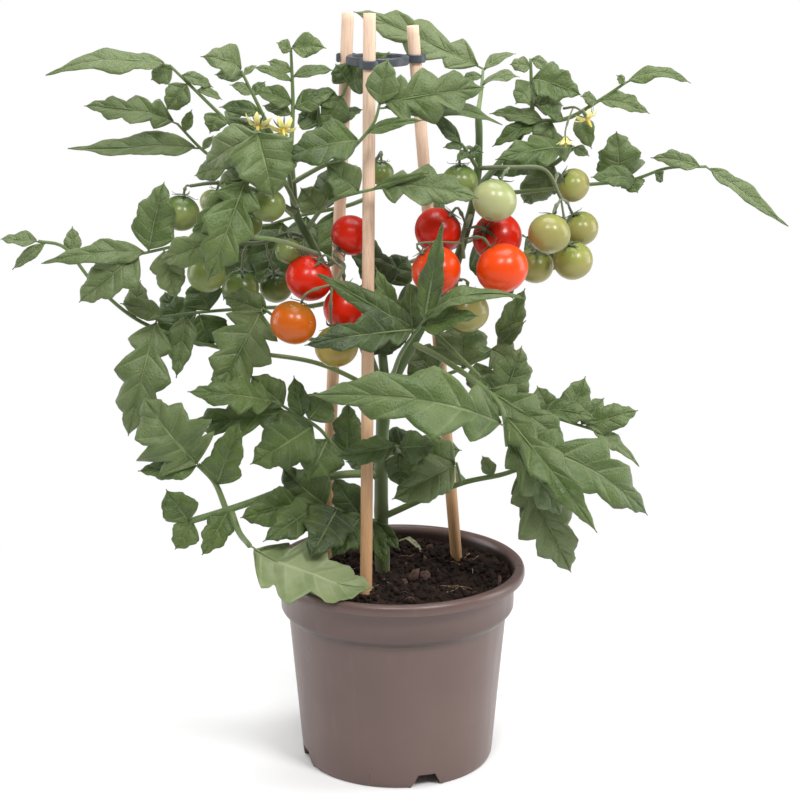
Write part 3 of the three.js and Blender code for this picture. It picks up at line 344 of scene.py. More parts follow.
# gives a finish its colour and its bump
def dress(tree, shader, body, relief):
    plug(tree, body, shader, "Base Color")
    plug(tree, relief, shader, "Normal")


# insideRadius and insideHeight, in metres: where the painted shade on the pot's inner wall and on the ledge
# under its collar sets in
potLook = {
    "body": colour(91, 71, 66), "paler": colour(110, 89, 83), "dust": colour(124, 106, 99),
    "stainAndShade": colour(34, 24, 19), "paintedShadeStrength": 0.82,
    "insideRadius": (0.0865, 0.0871), "insideHeight": (0.11, 0.12),
}


def potFinish():
    finish, tree, shader = startFinish("potPlastic", Roughness=0.34, IOR=1.52)
    cloud = grainNoise(tree, 9, 4, 0.6)
    body = blend(tree, rescale(tree, cloud, 0.35, 0.7, 0, 0.45), potLook["body"], potLook["paler"])
    smear = grainNoise(tree, 60, 4, 0.7, stretch=(1, 1, 0.12))
    body = blend(tree, rescale(tree, smear, 0.56, 0.8, 0, 0.3), body, potLook["dust"])
    where = addNode(tree, "SeparateXYZ", None, {0: placeIn(tree)}).outputs
    squares = [maths(tree, "POWER", where[axis], 2) for axis in ("X", "Y")]
    # painted shade: inside the inside radius and above the inside height, the inner wall over the soil and
    # the ledge under the collar are darkened most of the way to near black
    radius = maths(tree, "SQRT", maths(tree, "ADD", *squares))
    within = rescale(tree, radius, *potLook["insideRadius"], 1, 0)
    inside = maths(tree, "MULTIPLY", within, rescale(tree, where["Z"], *potLook["insideHeight"]))
    body = blend(tree, maths(tree, "MULTIPLY", inside, potLook["paintedShadeStrength"]), body, potLook["stainAndShade"])
    plug(tree, rescale(tree, smear, 0.3, 0.7, 0.27, 0.42), shader, "Roughness")
    fine = grainNoise(tree, 1400, 2, 0.6)
    sag = grainNoise(tree, 22, 2, 0.5, stretch=(1, 1, 0.3))
    dress(tree, shader, body, bumpOf(tree, fine, 0.12, 0.0003, bumpOf(tree, sag, 0.25, 0.001)))
    return finish


soilLook = {"dark": colour(20, 14, 11), "brown": colour(52, 36, 28), "dry": colour(92, 68, 52)}


def soilFinish():
    finish, tree, shader = startFinish("pottingMix", Roughness=0.95, Specular_IOR_Level=0.25)
    clump = grainNoise(tree, 90, 5, 0.7)
    crumb = grainNoise(tree, 520, 4, 0.7)
    body = blend(tree, rescale(tree, clump, 0.38, 0.66), soilLook["dark"], soilLook["brown"])
    body = blend(tree, rescale(tree, crumb, 0.62, 0.8, 0, 0.5), body, soilLook["dry"])
    dress(tree, shader, body, bumpOf(tree, crumb, 0.8, 0.0012))
    return finish


# bark and roots: a plain tone with streaks along the piece
def litterFinish(name, dark, light, roughness=0.85):
    finish, tree, shader = startFinish(name, Roughness=roughness)
    streak = grainNoise(tree, 420, 4, 0.7)
    body = blend(tree, rescale(tree, streak, 0.35, 0.65), dark, light)
    dress(tree, shader, body, bumpOf(tree, streak, 0.5, 0.0006))
    return finish


caneLook = {"top": colour(226, 196, 172), "foot": colour(190, 148, 106), "grain": colour(150, 112, 80)}


def caneFinish():
    finish, tree, shader = startFinish("caneWood", Roughness=0.62, Specular_IOR_Level=0.35)
    marks = readMarks(tree)
    body = blend(tree, rescale(tree, marks["X"], 0.25, 0.8), caneLook["foot"], caneLook["top"])
    grain = grainNoise(tree, 900, 4, 0.65, stretch=(1, 1, 0.025))
    body = blend(tree, rescale(tree, grain, 0.48, 0.72, 0, 0.5), body, caneLook["grain"])
    stainAndShade = grainNoise(tree, 34, 3, 0.6, stretch=(1, 1, 0.35))
    body = blend(tree, rescale(tree, stainAndShade, 0.6, 0.75, 0, 0.3), body, caneLook["grain"])
    dress(tree, shader, body, bumpOf(tree, grain, 0.35, 0.0004))
    return finish


clipLook = {"plastic": colour(62, 67, 74), "scuffed": colour(98, 104, 110)}


def clipFinish():
    finish, tree, shader = startFinish("clipPlastic", Roughness=0.4)
    scuff = grainNoise(tree, 160, 4, 0.7)
    body = blend(tree, rescale(tree, scuff, 0.5, 0.75, 0, 0.5), clipLook["plastic"], clipLook["scuffed"])
    dress(tree, shader, body, bumpOf(tree, grainNoise(tree, 900, 2), 0.15, 0.0003))
    return finish


# green stalks: browner towards the foot, with the bloom of fine hairs over them
def stalkFinish(name, young, old, oldEnd):
    finish, tree, shader = startFinish(name, Roughness=0.58, Sheen_Weight=0.35, Sheen_Roughness=0.5)
    marks = readMarks(tree)
    shade = grainNoise(tree, 120, 4, 0.6, stretch=(1, 1, 0.4))
    body = blend(tree, rescale(tree, marks["X"], 0, oldEnd), old, young)
    body = blend(tree, rescale(tree, shade, 0.45, 0.75, 0, 0.4), body, old)
    dress(tree, shader, body, bumpOf(tree, grainNoise(tree, 1500, 2), 0.3, 0.0003))
    return finish


# leaf colours: the deep green is also painted shade on inner leaves, and the grey-green third colour is a
# painted sheen on outer leaves
leafLook = {
    "deep": colour(40, 60, 18), "lively": colour(70, 94, 30), "greySheen": colour(104, 119, 72),
    "vein": colour(146, 160, 108), "sunny": colour(106, 126, 44), "glow": colour(136, 172, 44),
    "under": colour(122, 138, 90), "pale": colour(150, 160, 118), "underVein": colour(166, 176, 134),
    "shinesThrough": 0.24,
}


# mark: x counts the side veins along a leaflet, y runs from its rib to its edge, z is the leaflet's tone: its
# leaf's level of painted shade and sheen, varied at random
def leafFinish(name, deep, lively, greySheen, vein, relief):
    deep, lively, greySheen, vein, glow = [leafLook[tone] for tone in (deep, lively, greySheen, vein, "glow")]
    finish, tree, shader = startFinish(name, Roughness=0.5, Specular_IOR_Level=0.62,
                                       Sheen_Weight=0.3, Sheen_Roughness=0.4)
    marks = readMarks(tree)
    across = maths(tree, "ABSOLUTE", marks["Y"])
    betweenVeins = maths(tree, "FRACT", maths(tree, "ADD", marks["X"], 0.5))
    toSideVein = maths(tree, "ABSOLUTE", maths(tree, "SUBTRACT", betweenVeins, 0.5))
    toSmallVein = maths(tree, "SUBTRACT", 0.5, toSideVein)
    thinning = rescale(tree, across, 0, 1, 1.0, 0.25)
    rib = rescale(tree, across, 0.01, 0.07, 1.4, 0)
    sideVein = maths(tree, "MULTIPLY", rescale(tree, toSideVein, 0.0, 0.07, 0.7, 0), thinning)
    smallVein = maths(tree, "MULTIPLY", rescale(tree, toSmallVein, 0.0, 0.05, 0.45, 0), thinning)
    veins = maths(tree, "MAXIMUM", rib, maths(tree, "MAXIMUM", sideVein, smallVein))
    cells = {"Vector": placeIn(tree), "Scale": 420}
    net = addNode(tree, "TexVoronoi", {"feature": "DISTANCE_TO_EDGE"}, cells).outputs[0]
    netLine = rescale(tree, net, 0.0, 0.09, 1, 0)
    patch = grainNoise(tree, 55, 3, 0.6)
    # tone runs from painted shade (deep green) through lively green to the painted grey sheen, from the
    # mark's level with random patches over it
    tone = maths(tree, "ADD", marks["Z"], rescale(tree, patch, 0.3, 0.7, -0.3, 0.22), clamp=True)
    body = blend(tree, rescale(tree, tone, 0, 0.5), deep, lively)
    body = blend(tree, rescale(tree, tone, 0.5, 1), body, greySheen)
    sunny = rescale(tree, grainNoise(tree, 14, 2, 0.5), 0.5, 0.72, 0, 0.3)
    body = blend(tree, sunny, body, leafLook["sunny"])
    body = blend(tree, maths(tree, "MULTIPLY", netLine, 0.16), body, vein)
    body = blend(tree, maths(tree, "MULTIPLY", veins, 0.66, clamp=True), body, vein)
    plug(tree, rescale(tree, patch, 0.3, 0.7, 0.46, 0.6), shader, "Roughness")
    height = maths(tree, "SUBTRACT", maths(tree, "MULTIPLY", net, 0.7), maths(tree, "MULTIPLY", veins, 1.3))
    crease = bumpOf(tree, grainNoise(tree, 110, 3, 0.55), 0.45 * relief, 0.0028)
    dress(tree, shader, body, bumpOf(tree, height, 0.7 * relief, 0.0012, crease))
    throughLight = addNode(tree, "BsdfTranslucent", None, {"Color": blend(tree, 0.65, body, glow)})
    shares = {0: leafLook["shinesThrough"], 1: shader.outputs[0], 2: throughLight.outputs[0]}
    mixed = addNode(tree, "MixShader", None, shares)
    tree.links.new(mixed.outputs[0], tree.nodes["Material Output"].inputs["Surface"])
    return finish


fruitLook = {
    "shoulderFrom": 0.15, "glow": 0.12, "scar": colour(104, 78, 44),
    "skins": {  # the finish's name, the skin, its shoulder and its blush
        "red": ("ripeSkin", colour(202, 26, 3), colour(184, 30, 4), colour(214, 46, 4)),
        "orange": ("orangeSkin", colour(212, 56, 2), colour(206, 60, 3), colour(220, 74, 4)),
        "deepAmber": ("amberSkin", colour(176, 76, 2), colour(128, 84, 12), colour(184, 92, 6)),
        "paleAmber": ("turningSkin", colour(146, 130, 58), colour(100, 110, 42), colour(166, 124, 48)),
        "green": ("greenSkin", colour(106, 122, 62), colour(62, 84, 32), colour(132, 140, 84)),
        "olive": ("oliveSkin", colour(140, 136, 78), colour(128, 140, 62), colour(158, 152, 94)),
        "paleGreen": ("paleGreenSkin", colour(152, 158, 108), colour(104, 122, 64), colour(168, 172, 124)),
    },
}


# mark: x is the height on the fruit from -1 at its foot to 1 at its stalk, y its own tone
def fruitFinish(name, skin, shoulder, blush):
    finish, tree, shader = startFinish(
        name, Roughness=0.3, IOR=1.42, Specular_IOR_Level=0.4, Coat_Weight=0.16, Coat_Roughness=0.1,
        Subsurface_Weight=fruitLook["glow"], Subsurface_Scale=0.004)
    shader.inputs["Subsurface Radius"].default_value = (1.0, 0.5, 0.25)
    marks = readMarks(tree)
    patch = grainNoise(tree, 45, 3, 0.6)
    reach = maths(tree, "ADD", marks["X"], rescale(tree, patch, 0.3, 0.7, -0.3, 0.3))
    body = blend(tree, rescale(tree, marks["Y"], 0, 1, 0, 0.5), skin, blush)
    body = blend(tree, rescale(tree, patch, 0.4, 0.75, 0, 0.35), body, blush)
    body = blend(tree, rescale(tree, reach, fruitLook["shoulderFrom"], 0.95, 0, 0.9), body, shoulder)
    speck = addNode(tree, "TexVoronoi", None, {"Vector": placeIn(tree), "Scale": 900}).outputs[0]
    body = blend(tree, rescale(tree, speck, 0.0, 0.22, 0.16, 0), body, blush)
    scar = rescale(tree, marks["X"], -0.992, -0.98, 0.7, 0)
    body = blend(tree, scar, body, fruitLook["scar"])
    dress(tree, shader, body, bumpOf(tree, grainNoise(tree, 30, 2), 0.12, 0.001))
    return finish


def petalFinish(name, base, tip):
    finish, tree, shader = startFinish(name, Roughness=0.55, Sheen_Weight=0.2)
    marks = readMarks(tree)
    streak = grainNoise(tree, 700, 3, 0.6)
    body = blend(tree, rescale(tree, marks["X"], 0, 0.9), base, tip)
    body = blend(tree, rescale(tree, streak, 0.4, 0.7, 0, 0.25), body, base)
    dress(tree, shader, body, bumpOf(tree, streak, 0.2, 0.0003))
    return finish


finishes = {
    "pot": potFinish(),
    "soil": soilFinish(),
    "bark": litterFinish("barkChip", colour(44, 28, 22), colour(96, 68, 54)),
    "root": litterFinish("paleRoot", colour(110, 84, 62), colour(186, 156, 122)),
    "deadLeaf": litterFinish("witheredLeaf", colour(86, 88, 66), colour(150, 152, 120)),
    "cane": caneFinish(),
    "clip": clipFinish(),
    "stem": stalkFinish("stemSkin", colour(66, 90, 36), colour(78, 82, 40), 0.35),
    "leafStalk": stalkFinish("leafStalkSkin", colour(84, 106, 50), colour(104, 120, 66), 0.6),
    "trussStalk": stalkFinish("trussStalkSkin", colour(82, 94, 56), colour(98, 108, 70), 0.6),
    "sepal": stalkFinish("sepalSkin", colour(44, 62, 28), colour(62, 82, 40), 0.8),
    "leafFace": leafFinish("leafFace", "deep", "lively", "greySheen", "vein", 1),
    "leafBack": leafFinish("leafBack", "under", "under", "pale", "underVein", -0.8),
    **{key: fruitFinish(*skin) for key, skin in fruitLook["skins"].items()},
    "petal": petalFinish("petalYellow", colour(228, 212, 96), colour(240, 234, 158)),
    "anther": petalFinish("antherCone", colour(204, 172, 56), colour(224, 206, 104)),
}
print("finishes are made")


potShape = {
    "sides": 144,
    # outside from the foot to the lip, then down the inside: radius and height in millimetres
    "outside": [(69, 0), (70.6, 0.5), (71.7, 3), (72, 6), (76.7, 60), (81.3, 111.5), (81.6, 113),
                (82.6, 114.2), (86.2, 117.6), (86.9, 119), (87, 121), (87.3, 139.5), (87.8, 140.7),
                (89, 141.1), (93.6, 141.3), (94.6, 142), (95, 143.5), (94.9, 146.4), (94.2, 148.4),
                (92.6, 149.7), (90.8, 150)],
    "inside": [(88.6, 149.3), (87.1, 147.4), (86.4, 144), (85.9, 139), (85.4, 121), (85.2, 119),
               (81, 114.6), (79.9, 113), (75.2, 60), (70.4, 4), (69, 2), (40, 2), (0.4, 2)],
    "middle": 0.4, "wall": 1.6, "midWall": 71.2, "insideFoot": 70.4, "beyondWall": 88,
    "channels": 4, "firstChannel": -72.5, "channelStart": 40, "channelHeight": 10,
    "channelFoot": 24, "channelTop": 13, "drainHole": 4, "holeFrom": 7, "holeTo": 15,
}


# how far the moulding is off round: a little oval towards the lip, and five very faint waves
def offRound(turn, height):
    return 1 + 0.0012 * math.sin(2 * turn + 0.6) * (height / 150) + 0.0005 * math.sin(5 * turn)


# a trapezoid run in the pot's floor, from near the middle out to a radius
def channelBlock(name, angle, start, reach, grow, bottom=-1):
    foot, top = potShape["channelFoot"] / 2 + grow, potShape["channelTop"] / 2 + grow
    roof = potShape["channelHeight"] + grow
    corners = [(-foot, bottom), (foot, bottom), (top, roof), (-top, roof)]
    out = Vector((math.cos(angle), math.sin(angle), 0))
    across = Vector((-math.sin(angle), math.cos(angle), 0))
    draft = Draft()
    rows = [[(out * far(y) + across * y + Vector((0, 0, z))) * mm for y, z in corners]
            for far in (lambda y: start, lambda y: math.sqrt(reach * reach - y * y))]
    draft.addRows(rows, around=True, closeStart=True, closeEnd=True)
    return draft.build(name, [finishes["pot"]])


def cutWith(piece, tool, operation):
    step = piece.modifiers.new(operation.lower(), "BOOLEAN")
    step.operation, step.object, step.solver = operation, tool, "EXACT"


# keeps what the modifiers make as the piece's own mesh, and removes the tools
def settle(piece, tools=(), sharpOver=None):
    made = bpy.data.meshes.new_from_object(piece.evaluated_get(bpy.context.evaluated_depsgraph_get()))
    piece.modifiers.clear()
    piece.data = made
    made.shade_smooth()
    if sharpOver:
        made.set_sharp_from_angle(angle=math.radians(sharpOver))
    for tool in tools:
        bpy.data.objects.remove(tool)


# a round pin that cuts the drain hole in a channel's roof, halfway along it
def holePin(name, angle):
    reach = (potShape["channelStart"] + potShape["insideFoot"]) / 2
    low, high = [Vector((math.cos(angle) * reach, math.sin(angle) * reach, potShape[end])) * mm
                 for end in ("holeFrom", "holeTo")]
    draft = Draft()
    addStalk(draft, lambda share: low.lerp(high, share), lambda share: potShape["drainHole"] * mm, 20, 2)
    return draft.build(name, [finishes["pot"]])


def makePot():
    profile = [(potShape["middle"], 0)] + potShape["outside"] + potShape["inside"]
    rows = []
    for radius, height in profile:
        rows.append([Vector((math.cos(turn), math.sin(turn), 0)) * (radius * mm * offRound(turn, height))
                     + Vector((0, 0, height * mm)) for turn in turnsAround(potShape["sides"])])
    draft = Draft()
    draft.addRows(rows, around=True, closeStart=True, closeEnd=True)
    pot = draft.build("potShell", [finishes["pot"]])
    start, wall, tools = potShape["channelStart"], potShape["wall"], []
    angles = [math.radians(potShape["firstChannel"]) + turn for turn in turnsAround(potShape["channels"])]
    for i, angle in enumerate(angles):
        tools.append(channelBlock("ridge%d" % i, angle, start - wall, potShape["midWall"], wall, 0.3))
        cutWith(pot, tools[-1], "UNION")
    for i, angle in enumerate(angles):
        run = channelBlock("run%d" % i, angle, start, potShape["beyondWall"], 0)
        for tool in (run, holePin("drainHole%d" % i, angle)):
            cutWith(pot, tool, "DIFFERENCE")
            tools.append(tool)
    settle(pot, tools, sharpOver=38)
    keepPiece(pot, "pot_plastic", "pot")


soilShape = {
    "level": 140, "radius": 84.8, "middle": 0.3, "rings": 62, "sides": 176, "seed": 7,
    "underRings": [(84.6, 121), (79.2, 113), (71.4, 12.4)],  # radius and height of the side under the surface
    "crumbs": 2100, "chips": 90, "roots": 20,
    # across, back, height over the soil, size and flatness of the big bits of bark
    "clods": [(12, -12, 3.2, 7.6, 0.6), (20, -9, 2.6, 6.2, 0.7), (5, -18, 1.6, 3.8, 0.7)],
    # across, back and height over the soil in millimetres
    "forkedRoot": [[(30, -26, 1.5), (37, -30, 2.6), (46, -32, 3), (55, -29, 2)],
                   [(36, -44, 1.5), (41, -38, 2.6), (46, -32, 3.2)],
                   [(46, -32, 3), (52, -37, 2.2), (58, -43, 1.2)]],
    "witheredStrip": [(-2, 74, 1.5), (3, 70, 4), (8, 66, 5.5), (12, 62, 5), (15, 57, 4), (17, 52, 2.6),
                      (18, 47, 1.4)],
    "witheredWidths": [1.6, 3.6, 4.6, 5.0, 4.4, 3.2, 0.8],
}


def soilHeight(x, y):
    place = Vector((x, y, 0))
    mound = 2.4 * noise.noise(place / 34) + 2.6 * noise.noise(place / 12 + Vector((9, 0, 0)))
    crumbs = 2.4 * abs(noise.noise(place / 5.2)) + 1.2 * noise.noise(place / 2.3)
    return soilShape["level"] + mound + crumbs - 0.6


def onSoil(x, y, lift=0.0):
    return Vector((x, y, soilHeight(x, y) + lift))


def addCrumb(draft, centre, size, finishNumber, draw, flat, stretch):
    turn = Quaternion((draw() - 0.5, draw() - 0.5, draw() - 0.5, draw() - 0.5 + 0.01)).normalized()
    seed = Vector((draw(), draw(), draw())) * 50
    rows = []
    for i in range(5):
        tilt = math.pi * (i + 0.5) / 5
        row = []
        for around in turnsAround(7):
            point = Vector((math.sin(tilt) * math.cos(around) * stretch, math.sin(tilt) * math.sin(around),
                            math.cos(tilt) * flat))
            point *= size * (0.75 + 0.5 * noise.noise(point * 1.3 + seed))
            row.append((centre + turn @ point) * mm)
        rows.append(row)
    draft.addRows(rows, finishNumber, around=True, closeStart=True, closeEnd=True)


def addSoilBody(draft):
    rings, radius, sides = soilShape["rings"], soilShape["radius"], soilShape["sides"]
    middle, height = soilShape["middle"], soilHeight(0, 0)
    rows = [[Vector((middle * math.cos(turn), middle * math.sin(turn), height)) * mm
             for turn in turnsAround(sides)]]
    for i in range(1, rings + 1):
        reach = radius * i / rings
        rows.append([onSoil(reach * math.cos(turn), reach * math.sin(turn)) * mm
                     for turn in turnsAround(sides, 0.5 * (i % 2))])
    for reach, height in soilShape["underRings"]:
        rows.append([Vector((reach * math.cos(turn), reach * math.sin(turn), height)) * mm
                     for turn in turnsAround(sides, 0.5)])
    draft.addRows(rows[::-1], around=True, closeStart=True, closeEnd=True)


def addLooseBits(draft, draw):
    for i in range(soilShape["crumbs"] + soilShape["chips"]):
        chip = i >= soilShape["crumbs"]
        reach, turn = (soilShape["radius"] - 3.5) * math.sqrt(draw()), 2 * math.pi * draw()
        size = (0.7 + 3.2 * draw() ** 4) * (1.2 if chip else 1)
        centre = onSoil(reach * math.cos(turn), reach * math.sin(turn), 0.35 * size)
        finishNumber = 1 if chip and draw() < 0.6 else 0
        flat, stretch = (0.45, 1.7) if chip else (0.8, 1.1)
        addCrumb(draft, centre, size, finishNumber, draw, flat, stretch)
    for x, y, lift, size, flat in soilShape["clods"]:
        addCrumb(draft, onSoil(x, y, lift), size, 1, draw, flat, 1.2)


def addLitter(draft):
    for route in soilShape["forkedRoot"]:
        at = smoothRoute([onSoil(*point) for point in route])
        addStalk(draft, at, lambda share: (0.34 - 0.2 * share) * mm, 6, 14, 2)
    spine = [onSoil(*point) * mm for point in soilShape["witheredStrip"]]
    widths = [width * mm for width in soilShape["witheredWidths"]]
    addStrip(draft, spine, widths, Vector((0.3, -0.5, 1)), 0.5 * mm, 3, 0.5, 0.2)


# one pale rootlet that wanders over the soil and ends before the pot's wall
def addRootlet(draft, draw):
    reach, turn, heading = 78 * math.sqrt(draw()), 2 * math.pi * draw(), 2 * math.pi * draw()
    x, y, length, bend = reach * math.cos(turn), reach * math.sin(turn), 7 + 13 * draw(), (draw() - 0.5) * 2.4
    points = []
    for k in range(5):
        if math.hypot(x, y) > 83:
            break
        points.append(onSoil(x, y, 1.0 + 1.6 * draw()))
        x, y = x + math.cos(heading) * length / 4, y + math.sin(heading) * length / 4
        heading += bend / 4
    if len(points) > 2:
        thick = (0.12 + 0.16 * draw()) * mm
        addStalk(draft, smoothRoute(points), lambda share: thick * (1 - 0.6 * share), 5, 8, 2)


def makeSoil():
    draft = Draft()
    draw = makeRandom(soilShape["seed"])
    addSoilBody(draft)
    addLooseBits(draft, draw)
    addLitter(draft)
    for i in range(soilShape["roots"]):
        addRootlet(draft, draw)
    soil = draft.build("soilSurface", [finishes[name] for name in ("soil", "bark", "root", "deadLeaf")])
    keepPiece(soil, "potting_soil", "soil")


# where each cane leaves the soil and where it ends, in millimetres
canes = {
    "cane_front": ((-23, -40, 140), (-19, -15, 556)),
    "cane_right": ((45, 38, 140), (11, 27, 544)),
    "cane_left": ((-55, 34, 140), (-35, 30, 553)),
}
caneShape = {
    "radius": 4.5, "foot": 60, "sides": 28, "rings": 90, "rounding": 0.94, "unevenness": 0.022, "sway": 0.25,
}


# the place on a cane at a height
def caneAt(node, height):
    low, top = [Vector(end) for end in canes[node]]
    return low + (top - low) * (height - low.z) / (top.z - low.z)


def makeCane(node, seed):
    foot, top = caneAt(node, caneShape["foot"]), Vector(canes[node][1])
    length = (top - foot).length
    ahead = (top - foot).normalized()
    across = ahead.orthogonal().normalized()
    other = ahead.cross(across)
    rings, sides = caneShape["rings"], caneShape["sides"]
    heights = [0.0, 0.2] + [length * i / rings for i in range(1, rings)] + [length - 0.25, length]
    rows = []
    for height in heights:
        roundedEnd = caneShape["rounding"] if height in (0.0, length) else 1.0
        centre = foot + ahead * height + across * caneShape["sway"] * math.sin(height / 130 + seed)
        row = []
        for turn in turnsAround(sides):
            spot = Vector((math.cos(turn) * 2.2, math.sin(turn) * 2.2, height / 60 + seed * 7))
            reach = caneShape["radius"] * roundedEnd * (0.985 + caneShape["unevenness"] * noise.noise(spot))
            row.append((centre + (across * math.cos(turn) + other * math.sin(turn)) * reach) * mm)
        rows.append(row)
    draft = Draft()
    marks = [[(height / length, 0, 0)] * sides for height in heights]
    draft.addRows(rows, 0, marks, around=True, closeStart=True, closeEnd=True)
    keepPiece(draft.build(node + "_rod", [finishes["cane"]], sharpOver=50), "cane_wood", node)


clipShape = {
    "height": 521, "thickness": 6, "centre": (-14, 13), "ringRadius": 20, "ringWidth": 5, "ringSteps": 72,
    "collarRadius": 5.1, "collarWall": 2.3, "collarSteps": 26, "mouth": 1.9, "halfMouth": 0.75, "bevel": 0.7,
}


# a flat bar with rounded edges bent along places in the clip's plane
def addBar(draft, places, width, around=False):
    half, tall, bevel = width / 2, clipShape["thickness"] / 2, clipShape["bevel"]
    section = [(-half, -tall + bevel), (-half, tall - bevel), (-half + bevel, tall), (half - bevel, tall),
               (half, tall - bevel), (half, -tall + bevel), (half - bevel, -tall), (-half + bevel, -tall)]
    rows = []
    last = len(places) - 1
    for i, (x, y) in enumerate(places):
        before = places[i - 1 if around or i else 0]
        after = places[i + 1 if i < last else 0 if around else last]
        way = Vector((after[0] - before[0], after[1] - before[1], 0)).normalized()
        out = Vector((way.y, -way.x, 0))
        centre = Vector((x, y, clipShape["height"]))
        rows.append([(centre + out * a + Vector((0, 0, b))) * mm for a, b in section])
    if around:
        rows.append(rows[0])
    draft.addRows(rows, around=True, closeStart=not around, closeEnd=not around)


def arc(centre, radius, turns):
    return [(centre[0] + radius * math.cos(turn), centre[1] + radius * math.sin(turn)) for turn in turns]


def makeClip():
    centre, steps = clipShape["centre"], clipShape["collarSteps"]
    draft = Draft()
    ring = arc(centre, clipShape["ringRadius"], turnsAround(clipShape["ringSteps"]))
    addBar(draft, ring, clipShape["ringWidth"], around=True)
    middle = clipShape["collarRadius"] + clipShape["collarWall"] / 2
    sweep = 2 * math.pi - 2 * clipShape["halfMouth"]
    for node in canes:
        place = caneAt(node, clipShape["height"])
        outward = math.atan2(place.y - centre[1], place.x - centre[0])
        facing = outward + clipShape["mouth"] + clipShape["halfMouth"]
        collar = arc(place, middle, [facing + sweep * i / steps for i in range(steps + 1)])
        addBar(draft, collar, clipShape["collarWall"])
    keepPiece(draft.build("caneClip", [finishes["clip"]], sharpOver=40), "clip_plastic", "cane_clip")


makePot()
makeSoil()
for number, node in enumerate(canes):
    makeCane(node, number)
makeClip()
print("pot, soil, canes and clip are made")


stemShape = {"sides": 18, "seed": 3, "hairsPerMetre": 1500, "hairLength": 0.9, "ringEvery": 3.2}
# each branch of the stem: its route in millimetres, and its radius at both ends
branches = {
    "trunk": ([(-10, 12, 112), (-11, 12, 140), (-12, 10, 196), (-11, 10, 250), (-8, 12, 292)], 5.6, 4.6),
    "left": ([(-9, 11, 270), (-26, 22, 315), (-47, 20, 356), (-62, 6, 391), (-72, -3, 414),
              (-76, 0, 452)], 4.2, 2.6),
    "right": ([(-9, 12, 276), (18, 6, 330), (39, 2, 368), (52, 0, 412), (57, 0, 441), (58, 0, 466),
               (57, 0, 488)], 4.2, 2.4),
    "topRight": ([(55, 1, 428), (72, 16, 446), (88, 24, 464), (97, 26, 485)], 2.6, 1.8),
    "back": ([(-8, 12, 276), (-14, 44, 325), (-22, 66, 374), (-22, 78, 412), (-20, 82, 434)], 3.6, 2),
}


# short fine hairs standing off a stalk
def addHairs(draft, at, radius, count, length, draw, finishNumber=0):
    for i in range(count):
        share, turn = draw(), 2 * math.pi * draw()
        way = headingAt(at, share)
        across = way.orthogonal().normalized()
        out = across * math.cos(turn) + way.cross(across) * math.sin(turn)
        foot = at(share) + out * radius(share) * 0.9
        tip = foot + (out + way * (draw() - 0.4) * 0.6) * length * (0.6 + 0.8 * draw())
        side = way.cross(out) * 0.05 * mm
        first = len(draft.points)
        draft.points += [foot - side, foot + side + way * 0.05 * mm, foot + side - way * 0.05 * mm, tip]
        draft.marks += [(share, 0, 0)] * 4
        for face in ((0, 1, 3), (1, 2, 3), (2, 0, 3), (0, 2, 1)):
            draft.faces.append(tuple(first + k for k in face))
            draft.finishNumbers.append(finishNumber)


def makeStem():
    draft = Draft()
    draw = makeRandom(stemShape["seed"])
    for name, (points, start, end) in branches.items():
        at = smoothRoute(points)
        swell = lambda share: 1 + 0.07 * math.sin(share * at.length * 90 + 1) ** 8
        taper = lambda share: lerp(start, end, share) * mm
        radius = lambda share: taper(share) * swell(share) * (1 - 0.7 * max(0, share - 0.97) / 0.03)
        ribs = lambda share, turn: 1 + 0.035 * math.cos(5 * turn + 2 * share) + 0.03 * noise.noise(
            Vector((math.cos(turn), math.sin(turn), share * 9)) * 1.6)
        steps = max(16, int(at.length / (stemShape["ringEvery"] * mm)))
        old = len(draft.marks)
        addStalk(draft, at, radius, stemShape["sides"], steps, 0, 0, ribs)
        for k in range(old, len(draft.marks)):  # the foot of the trunk is old and brown, the rest is green
            share = draft.marks[k][0]
            draft.marks[k] = (share * 0.42 if name == "trunk" else 0.42 + 0.5 * share, 0, 0)
        hairs = int(stemShape["hairsPerMetre"] * at.length)
        addHairs(draft, at, taper, hairs, stemShape["hairLength"] * mm, draw)
    keepPiece(draft.build("mainStem", [finishes["stem"]]), "stem", "main_stem")


makeStem()
print("stem is made")


trussShape = {
    "stalkRadius": (1.7, 1.2), "hairs": 60, "hairLength": 0.8, "firstSeed": 5,
    "pedicelRadius": 1.0, "joint": 0.42,  # the joint's place along the pedicel
    "sepals": 5, "sepalLength": 11.5, "sepalSteps": 8, "sepalWidth": (3.3, 0.4), "sepalThickness": 0.28,
}
fruitShape = {"levels": 30, "sides": 44, "stalkHalf": 0.95, "footHalf": 0.93, "dimple": 0.12, "scar": 0.01}
